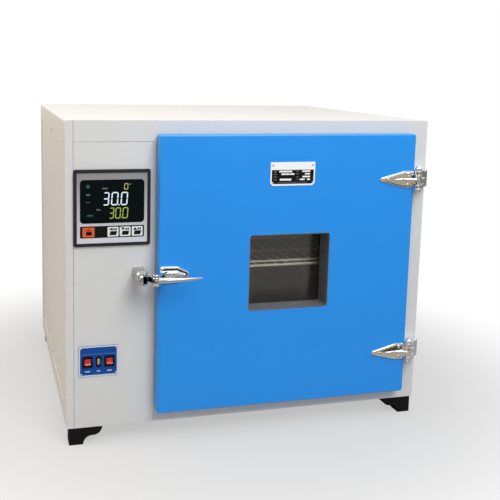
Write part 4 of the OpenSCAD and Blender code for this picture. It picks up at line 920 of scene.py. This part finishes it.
# %% Lever
LEVER_LENGTH = lever_high.x - LEVER_X - 3
BOW = 7
HANDLE = [(1, 0, 6.2, LEVER_HALF - 0.2), (0.24 * LEVER_LENGTH, -0.72 * BOW, 5.8, LEVER_HALF - 0.6),
          (0.5 * LEVER_LENGTH, -BOW + 1.4, 4.6, LEVER_HALF - 1.7),
          (0.76 * LEVER_LENGTH, -BOW + 3.2, 2.9, 3.0), (0.92 * LEVER_LENGTH, -BOW + 5.6, 1.7, 1.9),
          (LEVER_LENGTH - 0.3, 0, 1.1, 1.2)]
mesh = bmesh.new()
add_plate(mesh, [(LEVER_X, LEVER_Y, BOSS_R)], LATCH_Z - LEVER_HALF, LATCH_Z + LEVER_HALF, 1.2)
add_plate(mesh, [(LEVER_X, LEVER_Y, 6), (LEVER_X - 14, LEVER_Y + 22, 2.5)],
          LATCH_Z - LEVER_HALF + 0.2, LATCH_Z + LEVER_HALF - 0.2, 1.2)
add_spine(mesh, HANDLE, (LEVER_X, LEVER_Y, LATCH_Z), 30, 2.4)
finish_piece("lever_forging", mesh, "chrome", "latch_lever", ["latch_lever"])

# %% [markdown]
# ## Strap hinges
#
# Each hinge has a long pointed strap on the door and a shorter leaf that reaches round the
# door's corner to the casing. The strap has a ridge along it, two faint slopes that meet,
# so one half looks pale and the other dark. A rib swells out of it towards the barrel.

# %% Hinge straps
BARREL_R = 7
KNUCKLE_HALF = 10
STRAP_T = 3.0
RIDGE = 1.4
RIDGE_STEPS = 4
RIB_POWER = 2.6
SLOPE_START = 0.11
SLOPE_END = 0.98
STRAP_ROOT = door_high.x - 5


def strap_band(low, high, share, inset=0.0):
    """The strap's outline, shrunk to its ridge by a share."""
    keep = 1 - share
    hinge_z = (low.z + high.z) / 2
    wide = ((high.z - low.z) / 2 - 3) * keep
    shoulder = high.x - BARREL_R - 27
    tip = low.x + 4
    circles = [(tip + share * (shoulder - tip), hinge_z, 4 * keep + 0.1)]
    circles += [(x, hinge_z + side * wide, 3 * keep + 0.1)
                for x in (shoulder, STRAP_ROOT) for side in (-1, 1)]
    return band(circles, inset)


for node in ("upper_door_leaf", "lower_door_leaf"):
    low, high = casing_box(node)
    hinge_z = (low.z + high.z) / 2
    pin_x, pin_y = high.x - BARREL_R, low.y + BARREL_R
    top = DOOR_FACE - STRAP_T
    rings = [standing(strap_band(low, high, 0, inset), DOOR_FACE + depth)
             for inset, depth in ((0, 0.05), (0, -1.6), (0.5, -2.4))]
    for k in range(RIDGE_STEPS + 1):
        climb = k / RIDGE_STEPS
        rings.append(standing(strap_band(low, high, SLOPE_START + (SLOPE_END - SLOPE_START) * climb),
                              top - RIDGE * climb))
    mesh = bmesh.new()
    add_rings(mesh, rings)
    rib = [(low.x + 32, top - 0.2, 0.8, 0.8), (low.x + 44, top - 1.4, 2.0, 2.2),
           (low.x + 58, top - 2.4, 2.8, 3.0), (pin_x - 5, pin_y - 2.0, 4.0, 3.0)]
    add_spine(mesh, rib, (0, 0, hinge_z), 16, RIB_POWER)
    add_plate(mesh, [(pin_x, pin_y, BARREL_R)], hinge_z - KNUCKLE_HALF, hinge_z + KNUCKLE_HALF, 0.7)
    add_plate(mesh, [(pin_x - 1, pin_y + 1.5, 5.4), (pin_x - 11, DOOR_FACE - 2.6, 2)],
              hinge_z - KNUCKLE_HALF + 0.2, hinge_z + KNUCKLE_HALF - 0.2, 0.7)
    finish_piece(node.replace("leaf", "strap"), mesh, "chrome", "door", [node])

# %% [markdown]
# The leaf on the casing has two knuckles, above and below the strap's, on arms that reach
# forward from a thick swelling. Its own rib carries the strap's line on to the edge.

# %% Casing leaves
KNUCKLE_GAP = 0.3
for node in ("upper_cabinet_leaf", "lower_cabinet_leaf"):
    low, high = casing_box(node)
    hinge_z = (low.z + high.z) / 2
    half = (high.z - low.z) / 2
    pin_x, pin_y = low.x + BARREL_R, low.y + BARREL_R
    far = high.x - 2
    foot = [(far, -9, 2), (far, -2, 2), (pin_x + 5, -2, 2)]
    mesh = bmesh.new()
    for circles in ([(pin_x, pin_y, BARREL_R)], [(pin_x + 1, pin_y + 0.5, 5.8)] + foot):
        add_pair(mesh, circles, hinge_z, KNUCKLE_HALF + KNUCKLE_GAP, half, 0.7)
    add_plate(mesh, [(pin_x + 14, pin_y + 13, 3), (far - 2, -15, 2.2)] + foot,
              hinge_z - half + 0.3, hinge_z + half - 0.3, 1.2)
    rib = [(pin_x + 9, pin_y + 11, 3.0, 3.0), (pin_x + 16, pin_y + 12.5, 3.4, 3.0), (far - 3, -15, 2.6, 2.6)]
    add_spine(mesh, rib, (0, 0, hinge_z), 10, RIB_POWER)
    finish_piece(node.replace("leaf", "hinge_arm"), mesh, "chrome", "cabinet", [node])

# %% [markdown]
# ## Prints, marks and lit segments
#
# What is printed on the plates and what glows in the display are thin solids that stand
# proud by a tenth or two of a millimetre. All of it is plain: boxes, bars, arrows, numbers.

# %% Thin solids on a face


def thin_piece(name, finish, body, outlines, face, sunk=0.3, proud=0.12):
    """A piece of thin solids on a front face, one to each outline, a little sunk and a little proud."""
    mesh = bmesh.new()
    for outline in outlines:
        add_rings(mesh, [standing(outline, face + sunk), standing(outline, face - proud)])
    finish_piece(name, mesh, finish, body)


def corner_of(node):
    """The upper left corner of a node's front, as (x, z)."""
    low, high = casing_box(node)
    return low.x, high.z


def bar(corner, left, right, top, bottom, slant=0.0, clip=0.0):
    """Outline of a bar, measured right and down from a corner.

    Slant moves its top to the right, clip cuts its lower corners."""
    x0, x1 = corner[0] + left, corner[0] + right
    z0, z1 = corner[1] - bottom, corner[1] - top
    upper = [(x1 + slant * (z1 - z0), z1), (x0 + slant * (z1 - z0), z1)]
    if clip:
        return [(x0 + clip, z0), (x1 - clip, z0), (x1, z0 + clip), *upper, (x0, z0 + clip)]
    return [(x0, z0), (x1, z0), *upper]


def disc(corner, right, down, radius):
    """Outline of a disc, its middle measured right and down from a corner."""
    return [(corner[0] + right + radius * u, corner[1] - down + radius * v) for u, v in circle(24)]


# %% [markdown]
# The display shows numbers of seven segments. Each segment is a bar with pointed ends, and
# the number leans to the right. The table names the lit segments of the two digits needed.

# %% Digits
LIT = {"3": "abcdg", "0": "abcdef"}
LEAN = 0.07
GLASS = corner_of("display_window")
GLASS_FACE = casing_box("display_window")[0].y


def segment(x0, z0, x1, z1, thick):
    """A bar with pointed ends from one joint of a digit to the next."""
    length = math.hypot(x1 - x0, z1 - z0)
    ux, uz = (x1 - x0) / length, (z1 - z0) / length
    gap, half = 0.1 * thick, thick / 2
    ax, az, bx, bz = x0 + ux * gap, z0 + uz * gap, x1 - ux * gap, z1 - uz * gap
    along, across = (ux + uz) * half, (uz - ux) * half
    return [(ax, az), (ax + along, az + across), (bx + across, bz - along), (bx, bz),
            (bx - along, bz - across), (ax - across, az + along)]


def digit(number, left, right, top, bottom, thick):
    """Outlines of a digit's segments, measured from the display's upper left corner."""
    half = thick / 2
    x0, x1 = GLASS[0] + left + half, GLASS[0] + right - half
    z1, z0 = GLASS[1] - top - half, GLASS[1] - bottom + half
    mid = (z0 + z1) / 2
    ends = {"a": (x0, z1, x1, z1), "b": (x1, mid, x1, z1), "c": (x1, z0, x1, mid), "d": (x0, z0, x1, z0),
            "e": (x0, z0, x0, mid), "f": (x0, mid, x0, z1), "g": (x0, mid, x1, mid)}
    return [[(x + LEAN * (z - mid), z) for x, z in segment(*ends[letter], thick)]
            for letter in LIT[number]]


# %% [markdown]
# Three numbers stand one above the other: the minutes, the measured heat and the wanted
# heat. A few blank spots and bars stand for the small signs beside them.

# %% Display
# Each number is its digits, their sides, its (top, bottom, thickness) and its point.
NUMBERS = [
    ("measured_number", "lit_white", "300", [(43.0, 54.6), (58.3, 71.6), (76.3, 89.5)],
     (23.4, 48.6, 2.3), (72.9, 47.6, 1.2)),
    ("wanted_number", "lit_green", "300", [(54.7, 63.6), (66.1, 76.3), (79.5, 90.1)],
     (52.8, 73.7, 1.7), (77.8, 73.0, 0.8)),
    ("minute_number", "lit_amber", "0", [(82.4, 90.3)], (7.1, 19.3, 1.5), (93.8, 9.0, 1.1)),
]
FAINT_BARS = [(11.5, 18.6, 26.6, 29.4), (11.0, 19.0, 41.8, 42.8), (41.0, 51.5, 15.2, 17.6),
              (31.0, 34.4, 54.4, 58.0), (35.4, 38.4, 55.8, 58.0)]
for name, finish, numbers, sides, heights, point in NUMBERS:
    outlines = []
    for number, side in zip(numbers, sides):
        outlines += digit(number, *side, *heights)
    thin_piece(name, finish, "cabinet", outlines + [disc(GLASS, *point)], GLASS_FACE)
signs = [disc(GLASS, 15, 12.4, 3.4), bar(GLASS, 12.5, 24.5, 65.6, 68.6, LEAN)]
thin_piece("display_signs", "lit_teal", "cabinet", signs, GLASS_FACE)
thin_piece("faint_signs", "lit_dim", "cabinet", [bar(GLASS, *row, LEAN) for row in FAINT_BARS], GLASS_FACE)

# %% [markdown]
# The three pale keys carry a dark arrow, two small blocks and a slanted box; the orange one
# has an upright arrow over a dark box. The marks ride on the keys, so they go in with them.

# %% Key marks
ARROWS = {
    "set_key": [(0.12, 0.77), (0.47, 0.62), (0.47, 0.92)],
    "shift_key": [(0.12, 0.92), (0.30, 0.62), (0.48, 0.92)],
    "adjust_key": [(0.12, 0.62), (0.48, 0.62), (0.30, 0.93)],
}
BLOCKS = [
    [(0.52, 0.65), (0.63, 0.65), (0.66, 0.87), (0.55, 0.87)],
    [(0.69, 0.65), (0.83, 0.65), (0.86, 0.87), (0.72, 0.87)],
    [(0.16, 0.14), (0.78, 0.14), (0.88, 0.56), (0.26, 0.56)],
]
MARK_SUNK = 0.55
MARK_PROUD = 0.08


def mark_key(name, finish, key, shapes):
    """Marks on a key, from points given as shares of its width and height."""
    low, high = casing_box(key)
    outlines = [[(low.x + u * (high.x - low.x), low.z + v * (high.z - low.z)) for u, v in shape]
                for shape in shapes]
    thin_piece(name, finish, key, outlines, low.y, MARK_SUNK, MARK_PROUD)


for key, arrow in ARROWS.items():
    mark_key(key + "_marks", "print_black", key, [arrow] + BLOCKS)
mark_key("power_key_box", "print_black", "power_key",
         [[(0.30, 0.20), (0.76, 0.20), (0.76, 0.56), (0.30, 0.56)]])
mark_key("power_key_arrow", "print_rust", "power_key", [[(0.30, 0.66), (0.72, 0.66), (0.51, 0.88)]])

# %% [markdown]
# The nameplate keeps its layout but says nothing: a white band above, a black field with
# clipped lower corners, and white boxes in four rows where the values would stand.

# %% Nameplate print
PLATE = corner_of("nameplate")
PLATE_FACE = DOOR_FACE - 0.8
WHITE_BOXES = [(17.6, 44.0, 16.6, 19.9), (65.0, 82.0, 16.6, 19.6), (22.0, 39.0, 21.9, 24.9),
               (40.0, 49.0, 21.9, 24.9), (71.0, 81.4, 21.9, 24.7), (65.8, 81.6, 27.2, 30.2),
               (19.2, 43.0, 32.2, 36.0), (60.6, 70.8, 32.6, 35.6), (75.6, 81.8, 32.6, 35.6)]
ROWS = (18.4, 23.4, 29.0, 34.0)
LAST_ROW = (38.9, 40.9)
LAST_ROW_MARKS = 16
field = bar(PLATE, 2.6, 89.2, 15.2, 42.6, clip=4.6)
thin_piece("plate_field", "print_black", "door", [field], PLATE_FACE, 0.3, 0.1)
boxes = [bar(PLATE, *box) for box in WHITE_BOXES]
thin_piece("plate_boxes", "print_white", "door", boxes, PLATE_FACE, 0.2, 0.2)
marks = []
for row in ROWS:
    marks.append(bar(PLATE, 6.4, 12.8, row - 0.9, row + 0.9))
    marks.append(bar(PLATE, 52.5, 58.5, row - 0.7, row + 0.7))
marks += [bar(PLATE, 15.6 + 3.9 * k, 17.8 + 3.9 * k, *LAST_ROW) for k in range(LAST_ROW_MARKS)]
thin_piece("plate_marks", "print_grey", "door", marks, PLATE_FACE, 0.2, 0.2)

# %% [markdown]
# The switch plate has a pale border, a mid-blue line across it and a small blank bar under
# each switch and under the lamp.

# %% Switch plate print
panel_low, panel_high = casing_box("switch_plate")
PANEL_FACE = panel_low.y
BORDER_WIDTH = 2.5
BORDER_INSET = 0.15


def border_corners(inset):
    """Corners of the switch plate, drawn in by inset."""
    x0, x1 = panel_low.x + inset, panel_high.x - inset
    z0, z1 = panel_low.z + inset, panel_high.z - inset
    return [(x0, z0), (x1, z0), (x1, z1), (x0, z1), (x0, z0)]


outer, inner = border_corners(BORDER_INSET), border_corners(BORDER_INSET + BORDER_WIDTH)
border = [[outer[k], outer[k + 1], inner[k + 1], inner[k]] for k in range(4)]
thin_piece("switch_border", "print_sky", "cabinet", border, PANEL_FACE)
line = bar((panel_low.x, panel_high.z), 6.5, panel_high.x - panel_low.x - 5, 15.4, 17.2)
thin_piece("switch_line", "print_blue", "cabinet", [line], PANEL_FACE)
middle = ((panel_low.x + panel_high.x) / 2, panel_low.z)
labels = [bar(middle, x - half, x + half, -10.8, -9.0) for x, half in ((-21, 4.5), (0, 3), (21, 4.5))]
thin_piece("switch_marks", "print_sky", "cabinet", labels, PANEL_FACE)

# %% [markdown]
# A rocker is a cap with a dished face that tilts in its well. It is narrower than the well
# all round, so a dark gap frames the red. Its section, seen from the side, is swept across
# the switch with soft flanks, and then turned to the tilt at which the model rests.

# %% Rockers
ROCKER_TILT = math.radians(10)
ROCKER_FACE = -3.6
ROCKER_GAP = 0.9
DISH = 1.3


def rocker_ring(pivot, half, inset, x):
    """Section of a rocker on the plane x: a dished face in front, a narrow foot behind."""
    shares = [k / 4 - 1 for k in range(9)]
    face = [(ROCKER_FACE + inset + DISH * (1 - share ** 2), (half - inset) * share) for share in shares]
    section = face + [(-0.5, half - inset), (4.0, 3.0), (4.0, -3.0), (-0.5, inset - half)]
    cos, sin = math.cos(ROCKER_TILT), math.sin(ROCKER_TILT)
    return [(x, pivot.y + y * cos + z * sin, pivot.z + z * cos - y * sin) for y, z in section]


for joint in frame["record"]["behaviour"]["joints"]:
    if joint["name"].endswith("rocker_tilt"):
        rocker = joint["child"]
        pivot = in_casing(Vector(joint["pos_m"]))
        low, high = casing_box(rocker)
        half = (high.z - low.z) / 2 - 1 - ROCKER_GAP
        mesh = bmesh.new()
        add_rings(mesh, [rocker_ring(pivot, half, inset, x)
                         for inset, x in soft_levels(low.x + ROCKER_GAP, high.x - ROCKER_GAP, 0.7)])
        finish_piece(rocker + "_cap", mesh, "switch_red", rocker, [rocker])

# %% [markdown]
# The pilot lamp between the switches is a small dome in a black oval ring. Both are the same
# kind of plate, of two circles one above the other.

# %% Pilot lamp
lamp_low, lamp_high = casing_box("indicator_lamp")
lamp_x = (lamp_low.x + lamp_high.x) / 2
lamp_z = (lamp_low.z + lamp_high.z) / 2
for name, finish, reach, radius, front, back, edge, replaced in (
        ("lamp_ring", "black_plastic", 5.2, 4.6, -0.9, 9, 0.5, []),
        ("lamp_dome", "lamp_lens", 3.4, 3.0, -2.0, 0.6, 1.4, ["indicator_lamp"])):
    mesh = bmesh.new()
    add_plate(mesh, [(lamp_x, lamp_z + side * reach, radius) for side in (-1, 1)],
              PANEL_FACE + front, PANEL_FACE + back, edge, upright=True)
    finish_piece(name, mesh, finish, "cabinet", replaced)

# %% [markdown]
# ## Size
#
# The dressed oven has to keep the size of the CAD model, so its box is printed.

# %% Measure the dressed oven
low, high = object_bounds()
print("visual box:", [round(v, 4) for v in low], [round(v, 4) for v in high])
